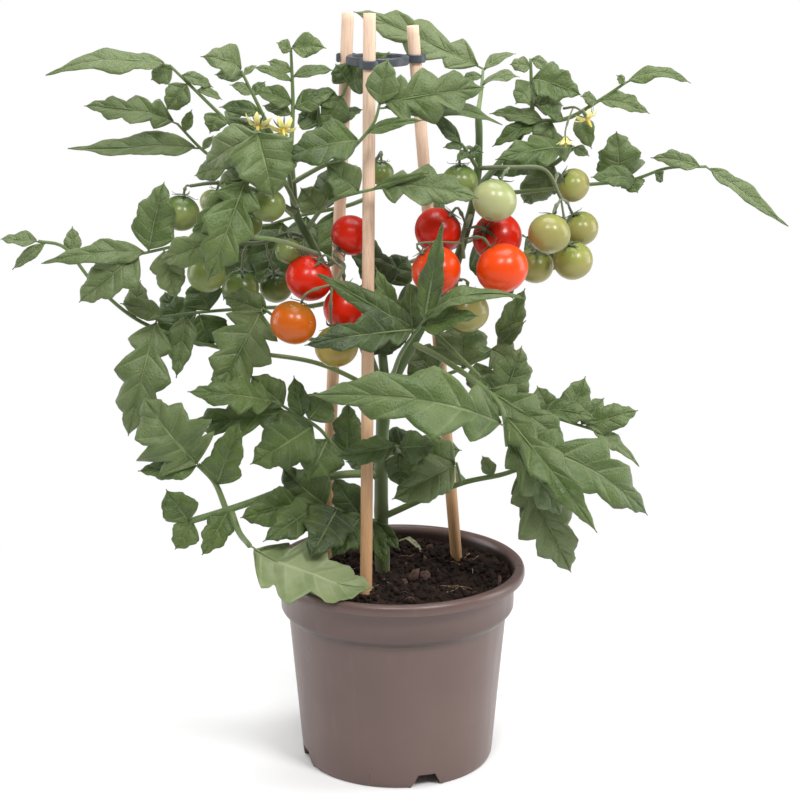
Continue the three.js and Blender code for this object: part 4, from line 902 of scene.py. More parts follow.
# each truss: the route of its stalk, and its fruit as (name, centre, radius, finish, way its stalk end
# faces); green fruit belongs to the truss's own node, the others to a node of their name
trusses = {
    "truss_ripe_right": ([(53, 0, 413), (50, -12, 409), (46, -26, 400), (47, -27, 386)], [
        ("tomato_red_1", (29, -17, 404), 17, "red", (0.6, -0.2, 0.8)),
        ("tomato_red_2", (71, -9, 398), 18, "red", (-0.5, -0.7, 0.4)),
        ("tomato_orange_1", (73, -47, 383), 18.5, "orange", (-0.5, 0.3, 0.8)),
        ("tomato_orange_2", (27, -45, 381), 17.6, "orange", (-0.6, -0.1, 0.8))]),
    "truss_green_right": ([(57, 0, 446), (80, -16, 449), (104, -14, 447), (116, -10, 426)], [
        ("", (68, -36, 429), 15.6, "paleGreen", (0.3, 0.5, 0.8)),
        ("", (107, -28, 404), 15, "olive", (0.2, 0.5, 0.8)),
        ("", (126, -3, 380), 14.3, "olive", (-0.3, -0.3, 0.9)),
        ("", (133, 20, 399), 13, "olive", (-0.5, -0.2, 0.9)),
        ("", (100, 14, 373), 13.5, "olive", (0.1, -0.5, 0.9)),
        ("", (126, 12, 432), 12.3, "olive", (-0.7, -0.4, 0.6))]),
    "truss_green_up": ([(57, 0, 456), (50, -8, 462), (46, -12, 458)], [
        ("", (44, -15, 439), 13, "green", (0, 0, 1))]),
    "truss_green_low": ([(30, 4, 350), (38, -8, 366), (46, -14, 368)], [
        ("", (50, -17, 346), 15.7, "olive", (0, 0.2, 1))]),
    "truss_ripe_left": ([(-53, 14, 371), (-44, 4, 378), (-38, -16, 377), (-46, -30, 368)], [
        ("tomato_red_3", (-63, -12, 369), 17, "red", (0.5, -0.3, 0.8)),
        ("tomato_red_4", (-33, -3, 398), 15, "red", (-0.5, -0.3, -0.5)),
        ("tomato_red_5", (-36, -6, 346), 17.5, "red", (-0.1, -0.2, 1)),
        ("tomato_orange_3", (-73, -46, 344), 16.4, "deepAmber", (0.4, 0.3, 0.9)),
        ("tomato_amber", (-43, -42, 326), 15.5, "paleAmber", (-0.2, 0.5, 0.8))]),
    "truss_green_left": ([(-72, -5, 415), (-104, -14, 434), (-128, -16, 438), (-146, -17, 436)], [
        ("", (-153, -18, 417), 13.6, "green", (0.2, 0, 1)),
        ("", (-90, -34, 425), 12.1, "green", (-0.2, 0.5, 0.9)),
        ("", (-107, -14, 408), 11.5, "green", (0, 0.1, 1)),
        ("", (-131, -2, 422), 10, "paleGreen", (0.3, 0.1, 1))]),
    "truss_green_left_low": ([(-63, 5, 394), (-78, 10, 397), (-100, 6, 391), (-128, 0, 393)], [
        ("", (-78, -8, 388), 9.4, "green", (0.1, 0.7, 0.6)),
        ("", (-114, 12, 357), 13.6, "green", (0.1, -0.1, 1)),
        ("", (-89, 25, 355), 12.3, "green", (-0.1, -0.4, 0.9)),
        ("", (-137, -6, 371), 14, "green", (0.2, 0.2, 1))]),
    "truss_green_high": ([(-20, 81, 424), (-17, 76, 438), (-12, 68, 448)], [
        ("", (-12, 62, 433), 9.5, "green", (0, 0, 1))]),
    "truss_green_back": ([(-18, 57, 352), (-6, 66, 356), (10, 74, 364), (22, 79, 367)], [
        ("", (28, 84, 350), 13, "green", (0, -0.2, 1))]),
}
skinSlots = {
    "red": "tomato_red", "orange": "tomato_orange", "deepAmber": "tomato_orange", "paleAmber": "tomato_amber",
}


# a slightly flattened fruit with a dimple and faint shoulders at its stalk, and a scar at its foot
def addFruit(draft, centre, radius, axis, finishNumber, draw):
    turn = standOn(axis)
    tone, squash, phase = draw(), 0.97 + 0.05 * draw(), 6 * draw()
    rows, marks = [], []
    for i in range(fruitShape["levels"]):
        tilt = -math.pi / 2 + math.pi * (i + 0.4) / (fruitShape["levels"] - 0.2)
        reach, height = math.cos(tilt), math.sin(tilt)
        if height > 0:
            dimple = fruitShape["dimple"] * math.exp(-(reach / 0.19) ** 2)
            level = -0.02 + fruitShape["stalkHalf"] * height * squash - dimple
        else:
            scar = fruitShape["scar"] * math.exp(-(reach / 0.07) ** 2)
            level = -0.02 + fruitShape["footHalf"] * height * squash + scar
        row, rowMarks = [], []
        for around in turnsAround(fruitShape["sides"]):
            out = Vector((math.cos(around), math.sin(around), 0))
            shoulder = 1 + 0.014 * math.cos(5 * around + phase) * max(0, height) ** 2
            spot = (out + Vector((0, 0, height))) * 0.8 + Vector((phase, 0, 0))
            uneven = 1 + 0.012 * noise.noise(spot)
            point = (out * (reach * shoulder) + Vector((0, 0, level))) * uneven
            row.append(centre + turn @ point * radius)
            rowMarks.append((height, tone, around))
        rows.append(row)
        marks.append(rowMarks)
    draft.addRows(rows, finishNumber, marks, around=True, closeStart=True, closeEnd=True)


# the calyx: narrow sepals that spring from the dimple, lie over the shoulder and curl up at their tips
def addCalyx(draft, centre, radius, axis, finishNumber, draw):
    turn = standOn(axis)
    length = min(trussShape["sepalLength"] * mm, radius * 0.8)
    count, steps, (wide, narrow) = trussShape["sepals"], trussShape["sepalSteps"], trussShape["sepalWidth"]
    for i in range(count):
        angle = radius / mm + 2 * math.pi * (i + 0.16 * (draw() - 0.5)) / count
        out = turn @ Vector((math.cos(angle), math.sin(angle), 0))
        side = turn @ Vector((-math.sin(angle), math.cos(angle), 0))
        long = length * (0.85 + 0.3 * draw())
        lift, sway = 0.25 + 0.6 * draw(), (draw() - 0.5) * 0.5
        spine, widths = [], []
        for k in range(steps + 1):
            share = k / steps
            reach = 0.8 * mm + long * share * (1 - 0.28 * lift * share)
            flat = min(1.0, reach / radius)
            rest = radius * (-0.02 + 0.95 * math.sqrt(1 - min(0.97, flat * flat))) + 0.5 * mm
            rise = max(rest, radius * 0.8 + 0.5 * mm - long * 0.12 * share) + long * 0.6 * lift * share ** 2.4
            spine.append(centre + out * reach + side * long * sway * share ** 2 + axis * rise)
            widths.append(lerp(wide, narrow, share ** 1.3) * mm * (0.55 + 1.3 * share * (1 - share)))
        addStrip(draft, spine, widths, axis, trussShape["sepalThickness"] * mm, finishNumber, draw(), 0.12)


# the pedicel, from the truss stalk over its swollen joint into the dimple
def addPedicel(draft, start, centre, radius, axis, finishNumber, draw):
    over = centre + axis * radius * 1.3
    middle = start.lerp(over, 0.55) + Vector(((draw() - 0.5) * 2, (draw() - 0.5) * 2, 1.2)) * mm
    at = smoothRoute([p / mm for p in (start, middle, over, centre + axis * radius * 0.74)])
    joint = lambda share: 0.75 * math.exp(-((share - trussShape["joint"]) / 0.06) ** 2)
    thick = lambda share: trussShape["pedicelRadius"] * mm * (0.78 + joint(share) + 0.25 * share)
    addStalk(draft, at, thick, 8, 18, finishNumber, draw())


# the place on the outer three quarters of a truss stalk that is nearest to a point
def nearestOn(at, point):
    return min((at(0.25 + 0.75 * k / 15) for k in range(16)), key=lambda place: (place - point).length)


def makeTruss(node, seed):
    route, fruit = trusses[node]
    draw = makeRandom(seed)
    at = smoothRoute(route)
    thick, thin = trussShape["stalkRadius"]
    draft = Draft()
    knots = lambda share: lerp(thick, thin, share) * mm * (1 + 0.1 * math.sin(share * 9 + seed) ** 4)
    addStalk(draft, at, knots, 10, 26, 0, 0.5)
    addHairs(draft, at, knots, trussShape["hairs"], trussShape["hairLength"] * mm, draw)
    skins = sorted({skin for name, centre, radius, skin, faces in fruit if not name})
    for name, centre, radius, skin, faces in fruit:
        centre, radius, axis = Vector(centre) * mm, radius * mm, Vector(faces).normalized()
        addPedicel(draft, nearestOn(at, centre + axis * radius * 1.3), centre, radius, axis, 0, draw)
        addCalyx(draft, centre, radius, axis, 1, draw)
        if name:
            ripe = Draft()
            addFruit(ripe, centre, radius, axis, 0, draw)
            keepPiece(ripe.build(name + "_fruit", [finishes[skin]]), skinSlots[skin], name)
        else:
            addFruit(draft, centre, radius, axis, 2 + skins.index(skin), draw)
    looks = [finishes["trussStalk"], finishes["sepal"]] + [finishes[skin] for skin in skins]
    keepPiece(draft.build(node + "_bunch", looks), "truss_green", node)


for number, node in enumerate(trusses):
    makeTruss(node, trussShape["firstSeed"] + number)
print("trusses and tomatoes are made")


leafShape = {
    "seed": 101, "stalkRadius": (1.9, 1.0), "sideStalkRadius": (1.3, 0.9), "thickness": 0.4, "arch": 0.1,
    "columns": 6, "rowsPerVein": 12, "tooth": 0.035, "hairsPerMetre": 500, "hairLength": 0.7,
    # which plan a leaflet's length, or its width as a share of that, gives it
    "largeOver": 60, "mediumOver": 36, "slim": 0.32, "slimBetween": (45, 100),
    "shortestInFrame": 30, "tipWithin": 0.35, "plainTone": 0.45,
}
# a leaflet's outline by its length: for each lobe and each notch in turn, where its vein leaves the rib and
# where that ends at the edge, as shares of the length, and its reach as a share of the half width
lobePlans = {
    "large": [(0.04, 0.05, 0.05), (0.1, 0.22, 0.86), (0.2, 0.29, 0.5), (0.3, 0.47, 1.04), (0.44, 0.58, 0.6),
              (0.53, 0.73, 0.74), (0.66, 0.81, 0.4), (0.74, 0.88, 0.34), (0.84, 0.93, 0.17), (1, 1, 0)],
    "narrow": [(0.04, 0.05, 0.06), (0.1, 0.2, 0.88), (0.2, 0.28, 0.84), (0.28, 0.42, 1), (0.42, 0.52, 0.86),
               (0.52, 0.66, 0.66), (0.66, 0.8, 0.4), (0.78, 0.9, 0.18), (1, 1, 0)],
    "medium": [(0.04, 0.05, 0.07), (0.14, 0.31, 1), (0.29, 0.45, 0.84), (0.42, 0.62, 0.86),
               (0.58, 0.74, 0.56), (0.7, 0.84, 0.42), (0.82, 0.91, 0.24), (1, 1, 0)],
    "small": [(0.04, 0.05, 0.09), (0.2, 0.38, 1), (0.38, 0.54, 0.92), (0.54, 0.72, 0.7), (0.72, 0.85, 0.38),
              (1, 1, 0)],
}
# ways a leaflet may bend so that its tip lies on the frame's leaf: turns about its side and about its face,
# in degrees
bends = [(0, 0), (12, 0), (-12, 0), (0, 14), (0, -14), (24, 0), (-24, 0), (14, 18), (-14, -18), (-14, 18),
         (14, -18), (36, 0), (-36, 0), (0, 32), (0, -32), (50, 0), (-50, 0), (30, 30), (-30, -30),
         (-30, 30), (30, -30)]

# painted shade and sheen on a leaf's face: 0 deep green as painted shade on inner and back leaves, 0.5 fresh
# green, 1 grey-green as a painted grey sheen on outer leaves
leafShadeAndSheen = {
    "leaf_drape": 0.95, "leaf_grey_drape": 0.9, "leaf_front_big": 0.92, "leaf_far_left_dark": 0.85,
    "leaf_far_left": 0.75, "leaf_left_hanging": 0.7, "leaf_mid_hanging": 0.62, "leaf_top": 0.9,
    "leaf_far_upper_left": 0.9, "leaf_left_long": 0.7, "leaf_upper_left": 0.72, "leaf_far_right": 0.85,
    "leaf_right_crown": 0.7, "leaf_right_dark": 0.5, "leaf_low_left": 0.55, "leaf_low_right": 1.05,
    "leaf_right_mid": 0.9, "leaf_centre": 0.62, "leaf_dark": 0.5, "leaf_over_rim": 0.32,
    "leaf_inner_left": 0.4, "leaf_inner_right": 0.75, "leaf_middle": 0.2, "leaf_back_left": 0.1,
    "leaf_back_right": 0.2, "leaf_back_low": 0.25, "leaf_cross_cane": 0.35, "leaf_right_upper": 0.75,
    "leaf_left_crown": 0.8,
}
# each leaf: arms of its stalk, each a route in millimetres and its leaflets as
# (share along the arm, tip, width, degrees its face is turned from up to the front, and its arch if it
# isn't the usual one), and last the arm's radius at both ends if it isn't the usual one
leaves = {
    "leaf_front_big": [
        ([(11, 7, 317), (38, -22, 308), (73, -44, 283), (78, -58, 257)], [
            (0.88, (-61, -80, 300), 48, 56, 0.27), (0.97, (179, -56, 205), 43, 60, 0.24),
            (0.95, (120, -66, 205), 33, 72, 0.12), (0.8, (143, -54, 193), 26, 80, 0.15),
            (0.6, (121, -40, 252), 34, 62)], (2.4, 1.9)),
    ],
    "leaf_drape": [
        ([(-75, -2, 426), (-77, -22, 449), (-82, -46, 468), (-97, -46, 479)], [
            (1, (-85, -56, 434), 48, 78, 0.14), (0.95, (-134, -34, 453), 30, 65, 0.12)]),
    ],
    "leaf_grey_drape": [
        ([(-72, -5, 420), (-79, -26, 439), (-89, -44, 450), (-103, -54, 449)], [
            (1, (-131, -62, 377), 38, 82, 0.08), (0.9, (-128, -40, 441), 24, 62),
            (0.97, (-147, -56, 405), 21, 65)]),
    ],
    "leaf_front_centre": [
        ([(-4, 11, 289), (3, -24, 317), (19, -60, 349)], [
            (1, (31, -74, 420), 18, 88, 0.08), (0.98, (84, -74, 375), 16, 42, 0.24),
            (0.85, (-64, -78, 335), 27, 62), (0.8, (-54, -84, 368), 21, 62), (0.6, (-15, -40, 382), 22, 74),
            (0.9, (56, -70, 354), 20, 62), (0.75, (9, -56, 372), 18, 76)]),
    ],
    "leaf_low_left": [
        ([(-11, 10, 216), (-43, 4, 217), (-78, -8, 211), (-108, -16, 202), (-126, -20, 197),
          (-152, -24, 190)], [
            (1, (-168, -28, 216), 28, 76), (0.98, (-163, -26, 169), 21, 80),
            (0.8, (-143, -30, 166), 22, 84, 0.08)], (3.2, 2.5)),
        ([(-125, -20, 197), (-133, -26, 221), (-144, -30, 235)], [
            (1, (-180, -44, 289), 58, 78), (0.98, (-187, -36, 232), 19, 70, 0.05),
            (0.5, (-113, -34, 269), 28, 84, 0.08)], (2.4, 1.8)),
        ([(-122, -19, 197), (-116, -30, 185), (-106, -58, 183)], [
            (1, (-17, -80, 159), 69, 205)], (2.6, 2)),
    ],
    "leaf_dark": [
        ([(-76, -1, 435), (-56, -22, 449), (-36, -36, 461), (-16, -44, 484), (-12, -44, 497)], [
            (1, (60, -34, 507), 40, 76, 0.06), (0.99, (-6, -42, 528), 24, 64),
            (0.97, (78, -30, 491), 17, 50), (0.72, (-78, -52, 460), 31, 54, 0.12),
            (0.78, (18, -54, 487), 10, 60)]),
    ],
    "leaf_far_right": [
        ([(55, 0, 429), (87, 36, 423), (140, 34, 429), (170, 24, 434), (194, 14, 444), (221, 8, 446)], [
            (1, (280, 0, 404), 16, 40, 0.01), (0.98, (181, 10, 452), 14, 55, 0.12),
            (0.66, (157, 18, 470), 36, 76, 0.08), (0.72, (135, 10, 435), 18, 62),
            (0.7, (173, 14, 426), 19, 80), (0.8, (192, 22, 433), 9, 60)]),
    ],
    "leaf_left_hanging": [
        ([(-42, 21, 346), (-64, 26, 340), (-101, 48, 334), (-141, 16, 338), (-174, 2, 337)], [
            (1, (-196, -14, 252), 41, 74, 0.14), (0.86, (-161, -4, 293), 20, 80, 0.08),
            (0.97, (-202, 2, 345), 17, 55), (0.8, (-137, 20, 310), 32, 78),
            (0.74, (-148, 28, 360), 29, 76)]),
    ],
    "leaf_mid_hanging": [
        ([(-30, 21, 323), (-62, 8, 319), (-97, -8, 346)], [
            (1, (-130, -26, 287), 48, 82), (0.92, (-125, 8, 349), 22, 66)]),
    ],
    "leaf_top": [
        ([(57, 0, 486), (60, 20, 499), (62, 42, 512)], [
            (1, (-32, 64, 551), 32, 50, 0.04), (0.95, (86, 50, 522), 12, 30, 0.12),
            (0.6, (87, 14, 509), 16, 30, 0.12), (0.8, (46, 30, 506), 9, 40)]),
    ],
    "leaf_behind_canes": [
        ([(-76, 0, 445), (-61, 8, 468), (-42, 13, 491), (-34, 15, 507)], [
            (1, (-14, 10, 535), 14, 70), (0.95, (-4, 6, 511), 22, 64), (0.97, (-44, 16, 518), 19, 70),
            (0.8, (-66, 6, 495), 16, 60, 0.12), (0.85, (-54, 4, 471), 21, 80),
            (0.5, (-71, 20, 482), 21, 62), (0.45, (-27, 34, 479), 15, 60)]),
    ],
    "leaf_centre": [
        ([(-66, 3, 400), (-51, -26, 423), (-40, -37, 431), (-14, -40, 438)], [
            (1, (56, -40, 424), 33, 54, 0.12), (0.85, (-50, -46, 457), 25, 72),
            (0.95, (25, -46, 447), 7, 60, 0.05), (0.4, (-68, -24, 436), 23, 82),
            (0.55, (-37, -20, 449), 16, 70)]),
    ],
    "leaf_left_crown": [
        ([(-76, 0, 452), (-74, 6, 489), (-75, 8, 530)], [
            (1, (-50, 6, 530), 19, 60), (0.97, (-85, 6, 534), 12, 40), (0.78, (-92, 14, 520), 10, 45),
            (0.74, (-45, 12, 514), 12, 45), (0.7, (-102, 2, 517), 10, 45, 0.12),
            (0.5, (-101, 0, 500), 16, 55, 0.15), (0.45, (-44, 16, 495), 17, 55, 0.12),
            (0.4, (-96, 12, 489), 11, 50)]),
    ],
    "leaf_upper_left": [
        ([(-76, 0, 438), (-88, -16, 473), (-108, -22, 517)], [
            (1, (-135, -34, 528), 25, 55, 0.26), (0.96, (-98, -14, 520), 6, 50),
            (0.95, (-127, -18, 514), 11, 60), (0.8, (-116, -26, 508), 10, 45),
            (0.78, (-92, -14, 509), 10, 45), (0.62, (-124, -22, 492), 12, 60, 0.2),
            (0.4, (-121, -6, 482), 13, 60)]),
    ],
    "leaf_far_upper_left": [
        ([(-75, 0, 429), (-93, 14, 451), (-121, 20, 476), (-162, 18, 517)], [
            (1, (-248, 4, 511), 24, 32, 0.11), (0.97, (-176, 22, 506), 16, 75),
            (0.92, (-132, 28, 500), 12, 55), (0.86, (-165, 16, 485), 20, 80),
            (0.8, (-126, 30, 491), 10, 45), (0.62, (-134, 12, 469), 17, 80),
            (0.55, (-113, 30, 487), 14, 50)]),
    ],
    "leaf_left_long": [
        ([(-68, 1, 406), (-101, 24, 429), (-139, 30, 453), (-159, 30, 474)], [
            (1, (-225, 26, 487), 26, 48, 0.11), (0.93, (-148, 30, 484), 9, 60),
            (0.8, (-237, 20, 457), 22, 40, 0.02), (0.78, (-133, 32, 465), 7, 40),
            (0.6, (-148, 36, 435), 18, 60)]),
    ],
    "leaf_far_left_dark": [
        ([(-57, 10, 382), (-93, -56, 406), (-134, -44, 402), (-180, -30, 390)], [
            (1, (-224, -40, 357), 33, 64, 0.12), (0.97, (-250, -36, 384), 19, 50),
            (0.97, (-163, -8, 435), 31, 76, 0.08), (0.9, (-156, -34, 359), 25, 76),
            (0.62, (-166, -44, 387), 24, 72)]),
    ],
    "leaf_far_left": [
        ([(-8, 11, 276), (-58, 12, 300), (-130, 16, 311), (-187, 6, 333), (-220, 0, 364), (-240, -2, 390),
          (-257, -4, 394)], [
            (1, (-284, -6, 396), 17, 25, 0.03), (0.98, (-277, -2, 373), 9, 70),
            (0.9, (-234, 8, 403), 13, 62), (0.68, (-187, 14, 362), 19, 75), (0.6, (-166, 8, 308), 18, 66),
            (0.54, (-160, 26, 357), 31, 72)], (1.9, 1.2)),
    ],
    "leaf_inner_left": [
        ([(-10, 10, 230), (-39, 0, 234), (-58, -12, 258), (-88, -22, 280)], [
            (1, (-153, -34, 287), 27, 60), (0.92, (-105, -24, 300), 26, 72),
            (0.76, (-75, -12, 297), 16, 75), (0.86, (-156, -26, 264), 28, 68),
            (0.66, (-106, -36, 237), 43, 80), (0.5, (-65, -26, 222), 35, 80),
            (0.72, (-49, -4, 280), 29, 72), (0.28, (-36, 6, 272), 24, 80)]),
    ],
    "leaf_over_rim": [
        ([(-12, 10, 177), (-36, -8, 192), (-71, -20, 204)], [
            (0.14, (-9, -8, 150), 13, 80), (0.1, (2, 2, 159), 12, 76, 0.15), (0.2, (-26, -14, 157), 12, 80),
            (1, (-114, -34, 196), 29, 74), (0.82, (-102, -50, 180), 26, 76), (0.6, (-66, -50, 165), 39, 74),
            (0.3, (-48, -36, 166), 27, 66), (0.7, (-82, -26, 227), 35, 80), (0.3, (-47, -8, 218), 28, 76)]),
    ],
    "leaf_cross_cane": [
        ([(-9, 10, 228), (1, -20, 239), (0, -46, 254)], [
            (1, (-43, -50, 247), 20, 72), (0.7, (2, -44, 222), 24, 74), (0.9, (28, -44, 253), 23, 70)]),
    ],
    "leaf_low_right": [
        ([(-10, 10, 183), (24, 0, 202), (49, -8, 215), (76, -18, 224), (89, -26, 231)], [
            (1, (127, -34, 154), 43, 82), (0.97, (115, -42, 174), 25, 84),
            (0.8, (62, -10, 236), 11, 60)], (2.6, 1.7)),
        ([(47, -8, 215), (43, -18, 233)], [
            (1, (-4, -34, 210), 33, 74), (0.9, (4, -28, 250), 32, 78)]),
    ],
    "leaf_right_mid": [
        ([(19, 6, 333), (53, -4, 301), (81, -18, 279), (119, -24, 267), (139, -26, 261)], [
            (1, (175, -28, 233), 14, 30), (0.97, (174, -20, 273), 22, 66), (0.88, (136, -14, 297), 23, 76),
            (0.8, (101, -14, 290), 17, 72), (0.95, (150, -14, 281), 16, 72),
            (0.74, (139, -40, 263), 21, 46, 0.2), (0.55, (89, -24, 322), 32, 84),
            (0.5, (58, -22, 299), 22, 62)]),
    ],
    "leaf_inner_right": [
        ([(-5, 12, 291), (24, 20, 287), (49, 20, 295), (75, 14, 314)], [
            (1, (93, 14, 356), 19, 80), (0.97, (96, 6, 336), 12, 75), (0.92, (88, -2, 302), 26, 74),
            (0.62, (48, 30, 330), 46, 80, 0.12), (0.4, (11, 34, 308), 31, 76),
            (0.75, (64, 20, 272), 22, 72), (0.3, (30, 34, 265), 27, 70)]),
    ],
    "leaf_middle": [
        ([(1, 18, 322), (-4, 44, 338), (-9, 58, 350)], [
            (1, (8, 66, 370), 29, 78), (0.9, (-20, 52, 373), 25, 76), (0.7, (-40, 52, 335), 30, 74),
            (0.5, (29, 50, 340), 30, 74), (0.3, (-16, 40, 302), 30, 76), (0.95, (-35, 60, 394), 25, 76)]),
    ],
    "leaf_right_crown": [
        ([(97, 26, 483), (96, 25, 503), (95, 24, 521)], [
            (0.62, (131, 14, 496), 28, 64, 0.12), (0.55, (84, 12, 490), 20, 85),
            (0.85, (80, 22, 517), 14, 55), (1, (108, 30, 512), 11, 55), (0.15, (120, 36, 486), 17, 70),
            (0.1, (88, 46, 458), 20, 78)]),
    ],
    "leaf_right_upper": [
        ([(97, 26, 476), (121, 18, 479), (143, 14, 492), (162, 8, 506)], [
            (1, (207, 2, 506), 15, 40, 0.2), (0.97, (155, 8, 511), 8, 40),
            (0.68, (179, 6, 484), 16, 50, 0.14), (0.66, (130, 8, 496), 13, 50),
            (0.45, (139, 12, 458), 15, 85, 0.12), (0.3, (101, 10, 489), 14, 50),
            (0.12, (66, 22, 482), 14, 55), (0.2, (98, 20, 455), 19, 80), (0.08, (65, 24, 466), 14, 55)]),
    ],
    "leaf_right_dark": [
        ([(80, 20, 453), (110, 38, 442), (127, 22, 458)], [
            (1, (69, -14, 454), 26, 62), (0.98, (138, 18, 452), 10, 50),
            (0.66, (90, 60, 405), 27, 80, 0.08), (0.4, (67, 16, 438), 16, 62)], (2.1, 1.7)),
    ],
    "leaf_narrow_top": [
        ([(57, 0, 446), (50, -12, 458), (45, -18, 466)], [
            (1, (21, -24, 490), 11, 65, 0.08), (0.9, (32, -24, 464), 8, 50), (0.7, (41, -28, 455), 8, 70),
            (0.6, (60, -26, 461), 12, 60)]),
    ],
    "leaf_back_right": [
        ([(-21, 66, 370), (2, 92, 359), (39, 108, 367), (79, 118, 379), (98, 122, 375)], [
            (1, (127, 124, 348), 32, 60), (0.7, (90, 110, 327), 31, 66), (0.45, (33, 124, 406), 24, 62),
            (0.4, (52, 90, 339), 31, 72)]),
    ],
    "leaf_back_left": [
        ([(-20, 79, 413), (-38, 96, 403), (-82, 104, 392), (-116, 100, 380)], [
            (1, (-163, 92, 368), 34, 64), (0.8, (-104, 116, 416), 28, 64), (0.72, (-103, 86, 340), 43, 70),
            (0.86, (-134, 82, 333), 34, 76), (0.4, (-52, 116, 430), 24, 62), (0.35, (-47, 88, 355), 31, 72),
            (0.55, (-74, 84, 348), 27, 74)]),
    ],
    "leaf_back_low": [
        ([(-10, 14, 218), (3, 56, 209), (18, 92, 206), (27, 118, 202)], [
            (1, (43, 150, 162), 49, 24), (0.8, (-20, 104, 219), 29, 62), (0.7, (50, 84, 213), 29, 50),
            (0.4, (-40, 66, 209), 28, 66)]),
    ],
}


# a leaflet's tip after a bend, in millimetres
def bentTip(foot, tip, facing, bend):
    chord = tip - foot
    up = Vector((0, -math.sin(facing), math.cos(facing)))
    side = chord.cross(up).normalized()
    chord.rotate(Quaternion(side, math.radians(bend[0])))
    chord.rotate(Quaternion(up, math.radians(bend[1])))
    return foot + chord


# where along the frame's leaf this leaflet really ends, or None if it has no place there
def tipInFrame(cloud, foot, tip, facing):
    for bend in bends:
        place = bentTip(foot, tip, facing, bend)
        if cloud.find(place * mm)[2] < leafShape["tipWithin"] * mm:
            return place
    return None


# the outline plan for a leaflet's size, and how round its lobes are
def planFor(length, width):
    shortest, longest = leafShape["slimBetween"]
    if width < leafShape["slim"] * length and shortest < length < longest:
        return lobePlans["narrow"], 2.0
    if length > leafShape["largeOver"]:
        return lobePlans["large"], 1.5
    return lobePlans["medium" if length > leafShape["mediumOver"] else "small"], 1.8


# one blade in millimetres: lobed and toothed, folded up from its rib and puffed up between its veins
def addLeaflet(blades, stalks, foot, tip, width, facing, arch, leafTone, seed):
    chord = tip - foot
    length, along = chord.length, chord.normalized()
    draw = makeRandom(seed)
    up = Vector((0, -math.sin(facing), math.cos(facing)))
    up = (up - along * up.dot(along)).normalized()
    up.rotate(Quaternion(along, (draw() - 0.5) * 0.5))
    side = along.cross(up)
    fold, half = 0.1 + 0.25 * draw(), width / 2
    plan, roundness = planFor(length, width)
    last = len(plan) - 2
    uneven = [(0.92 + 0.16 * draw(), 0.92 + 0.16 * draw()) for step in plan]
    shift = [((draw() - 0.5) * 0.035, (draw() - 0.5) * 0.035) for step in plan]
    curl, droop, phase = 0.06 + 0.26 * draw(), 0.04 * draw(), 6.28 * draw()
    # the leaf's level of painted shade and sheen, varied at random for each leaflet
    tone = leafTone + 0.55 * (draw() - 0.5)
    puff, wave = 0.12 * half + 0.3, 0.08 + 0.1 * draw()
    columns, perVein = leafShape["columns"], leafShape["rowsPerVein"]
    ribHeight = lambda at: 4 * arch * length * at * (1 - at)
    rows, marks = [], []
    for k in range((len(plan) - 1) * perVein // 2 + 1):
        vein = 0.5 + k / perVein
        i = min(int((vein - 0.5) * 2), last)
        share = (vein - 0.5) * 2 - i
        pointed = share ** roundness if i % 2 else 1 - (1 - share) ** roundness
        tooth = 1 + leafShape["tooth"] * (abs((3 * vein) % 1 - 0.5) * 2 - 0.6)
        root = lerp(plan[i][0], plan[i + 1][0], share)
        row, rowMarks = [], []
        for j in range(-columns, columns + 1):
            hand, across = int(j > 0), abs(j) / columns
            before = plan[i][1] + shift[i][hand] * (i > 0)
            after = plan[i + 1][1] + shift[i + 1][hand] * (i < last)
            edge = lerp(before, after, share)
            reach = lerp(plan[i][2] * uneven[i][hand], plan[i + 1][2] * uneven[i + 1][hand], pointed) * tooth
            out = across * half * reach
            at = root + (edge - root) * across ** 1.1
            between = abs(math.sin(math.pi * vein)) * math.sin(math.pi * min(1, across * 1.05)) ** 0.7
            lift = ribHeight(at) + fold * out + puff * between * (1 - 0.5 * at)
            rolled = 0.5 + 0.5 * math.sin(vein * 2.1 + phase + hand * 1.7)
            lift -= curl * half * reach * across ** 3 * rolled
            lift += wave * half * across ** 2 * reach * math.sin(vein * math.pi * 1.1 + phase + hand * 2.4)
            lift += droop * length * math.sin(math.pi * at) * math.sin(6 * at + phase)
            place = foot + along * (length * at) + side * (out * (1 if hand else -1)) + up * lift
            row.append(place * mm)
            rowMarks.append((vein, j / columns, tone))
        rows.append(row)
        marks.append(rowMarks)
    blades.addRows(rows, 0, marks)
    ribEnd = 0.94  # the rib stops a little short of the tip, and its foot lies under the blade
    rib = lambda share: (foot + along * (length * share * ribEnd)
                         + up * (ribHeight(share * ribEnd) - 0.42 * (1 - share))) * mm
    thick = lambda share: lerp(0.78, 0.2, share) * mm * (0.7 + 0.3 * min(1, length / 50))
    addStalk(stalks, rib, thick, 6, 12, 0, tone)


def frameCloud(node):
    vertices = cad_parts[node].data.vertices
    cloud = KDTree(len(vertices))
    for i, vertex in enumerate(vertices):
        cloud.insert(vertex.co, i)
    cloud.balance()
    return cloud


